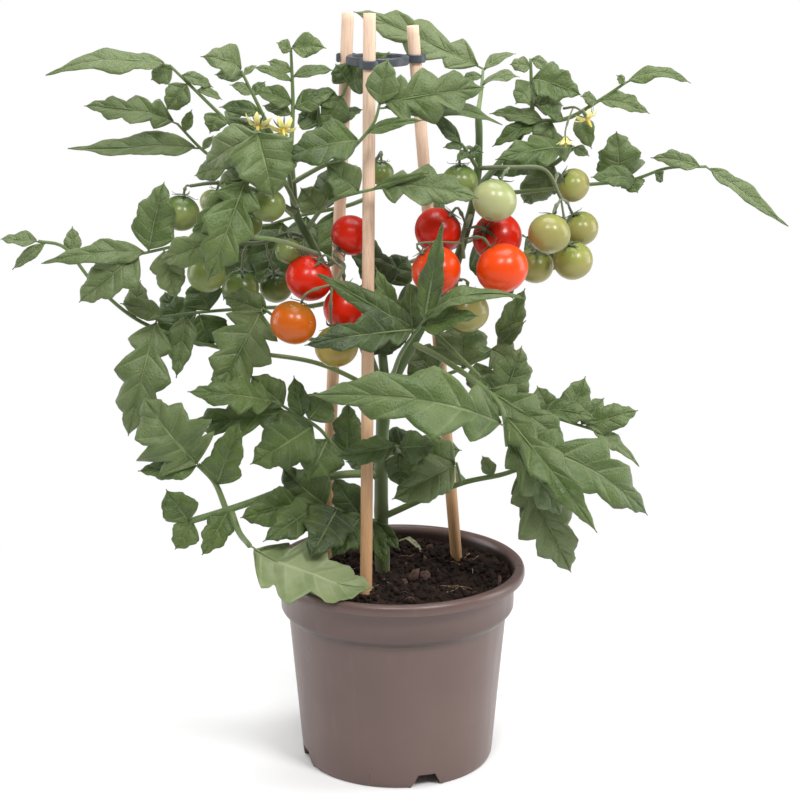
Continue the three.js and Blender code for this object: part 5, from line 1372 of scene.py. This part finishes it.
def makeLeaf(node, arms, seed):
    cloud = frameCloud(node)
    blades, stalks = Draft(), Draft()
    kept, leafTone = 0, leafShadeAndSheen.get(node, leafShape["plainTone"])
    groove = lambda share, turn: 1 - 0.12 * max(0, math.cos(turn)) ** 6
    for arm, (route, leaflets, *thick) in enumerate(arms):
        at = smoothRoute(route)
        start, end = thick[0] if thick else leafShape["sideStalkRadius" if arm else "stalkRadius"]
        taper = lambda share: lerp(start, end, share) * mm
        addStalk(stalks, at, taper, 10, max(12, int(at.length / (4 * mm))), 0, 0.4, groove)
        hairs = int(leafShape["hairsPerMetre"] * at.length)
        addHairs(stalks, at, taper, hairs, leafShape["hairLength"] * mm, makeRandom(seed + 7 * arm))
        for i, (share, tip, width, degrees, *arch) in enumerate(leaflets):
            foot, tip, facing = at(share) / mm, Vector(tip), math.radians(degrees)
            if (tip - foot).length >= leafShape["shortestInFrame"]:
                tip = tipInFrame(cloud, foot, tip, facing)
            if tip:
                arched = arch[0] if arch else leafShape["arch"]
                own = seed + 97 * arm + 13 * i
                addLeaflet(blades, stalks, foot, tip, width, facing, arched, leafTone, own)
                kept += 1
            else:
                print("   no place for leaflet", i, "of arm", arm, "of", node)
    blade = blades.build(node + "_blades", [finishes["leafFace"], finishes["leafBack"]])
    skin = blade.modifiers.new("thickness", "SOLIDIFY")
    skin.thickness, skin.offset, skin.material_offset = leafShape["thickness"] * mm, -1, 1
    stalk = stalks.build(node + "_stalk", [finishes["leafStalk"]])
    keepPiece(blade, "leaf", node)
    keepPiece(stalk, "leaf", node)
    return kept


leafletCount = 0
for number, (node, arms) in enumerate(leaves.items()):
    leafletCount += makeLeaf(node, arms, leafShape["seed"] + 17 * number)
print("leaves are made:", leafletCount, "leaflets")


flowerShape = {
    "petals": 6, "petalLength": 9.4, "petalWidth": 4.8, "petalSteps": 7, "petalThickness": 0.22,
    "sepalWidth": 1.3, "neckLength": 4, "firstSeed": 21,
}
# each spray: the route of its stalk, and its blooms as (share along it, centre, way it faces, how open it is)
sprays = {
    "flowers_left": ([(-76, 0, 447), (-80, -16, 460), (-88, -27, 476), (-93, -30, 484)], [
        (1, (-96, -35, 481), (-0.2, -0.5, -0.8), 1.0),
        (0.6, (-79, -35, 478), (0.1, -0.7, -0.5), 0.9),
        (0.45, (-72, -37, 463), (0, -0.2, -1), 0.5)]),
    "flowers_right": ([(119, 20, 486), (126, 10, 488), (131, 2, 486)], [
        (1, (134, -3, 482), (0.4, -0.3, -0.8), 0.9),
        (0.5, (119, 0, 468), (0, -0.2, -1), 0.35)]),
}


def addBloom(draft, centre, faces, openness, draw):
    turn = standOn(faces)
    at = lambda x, y, z: centre + turn @ (Vector((x, y, z)) * mm)
    count, long, steps = flowerShape["petals"], flowerShape["petalLength"], flowerShape["petalSteps"]
    # layer, finish, length, width and how far it bends back, for the petals and then for the sepals
    layers = [(0, 2, long, flowerShape["petalWidth"], 0.55),
              (1, 1, long * 0.8, flowerShape["sepalWidth"], 0.75)]
    for layer, finishNumber, length, width, bendBack in layers:
        for i in range(count):
            angle = 2 * math.pi * (i + 0.5 * layer + 0.12 * (draw() - 0.5)) / count
            spine, widths = [], []
            for k in range(steps + 1):
                share = k / steps
                reach = 1.2 + length * share * (0.35 + 0.65 * openness)
                slope = (1 - openness) * 0.9 + 0.25 - bendBack * openness * share * 1.5
                rise = -0.8 * layer + length * share * slope
                spine.append(at(reach * math.cos(angle), reach * math.sin(angle), rise))
                widths.append(width * mm * (0.35 + 2.2 * share * (1 - share)) * (1 if share < 1 else 0.2))
            out = turn @ Vector((math.cos(angle) * 0.3, math.sin(angle) * 0.3, 1))
            addStrip(draft, spine, widths, out, flowerShape["petalThickness"] * mm, finishNumber, draw(), 0.1)
    cone = lambda share: at(0.25 * math.sin(2 * share), 0, -0.5 + 7.6 * share)
    addStalk(draft, cone, lambda share: lerp(1.55, 0.45, share ** 1.3) * mm, 10, 10, 3, draw(),
             lambda share, turn: 1 + 0.1 * math.cos(5 * turn))


def makeFlowers(node, seed):
    route, blooms = sprays[node]
    draw = makeRandom(seed)
    at = smoothRoute(route)
    draft = Draft()
    addStalk(draft, at, lambda share: lerp(1.0, 0.7, share) * mm, 8, 18, 0, 0.5)
    for share, centre, faces, openness in blooms:
        centre, faces = Vector(centre) * mm, Vector(faces).normalized()
        back = centre - faces * flowerShape["neckLength"] * mm
        middle = at(share).lerp(back, 0.5) + Vector((0, 0, 1.5)) * mm
        neck = smoothRoute([place / mm for place in (at(share), middle, back, centre)])
        thick = lambda share: (0.6 + 0.35 * math.exp(-((share - 0.55) / 0.07) ** 2)) * mm
        addStalk(draft, neck, thick, 7, 14, 0, 0.5)
        addBloom(draft, centre, faces, openness, draw)
    looks = [finishes[name] for name in ("trussStalk", "sepal", "petal", "anther")]
    keepPiece(draft.build(node + "_spray", looks), "petal_yellow", node)


for number, node in enumerate(sprays):
    makeFlowers(node, flowerShape["firstSeed"] + number)
print("flowers are made")

print("all pieces are made")
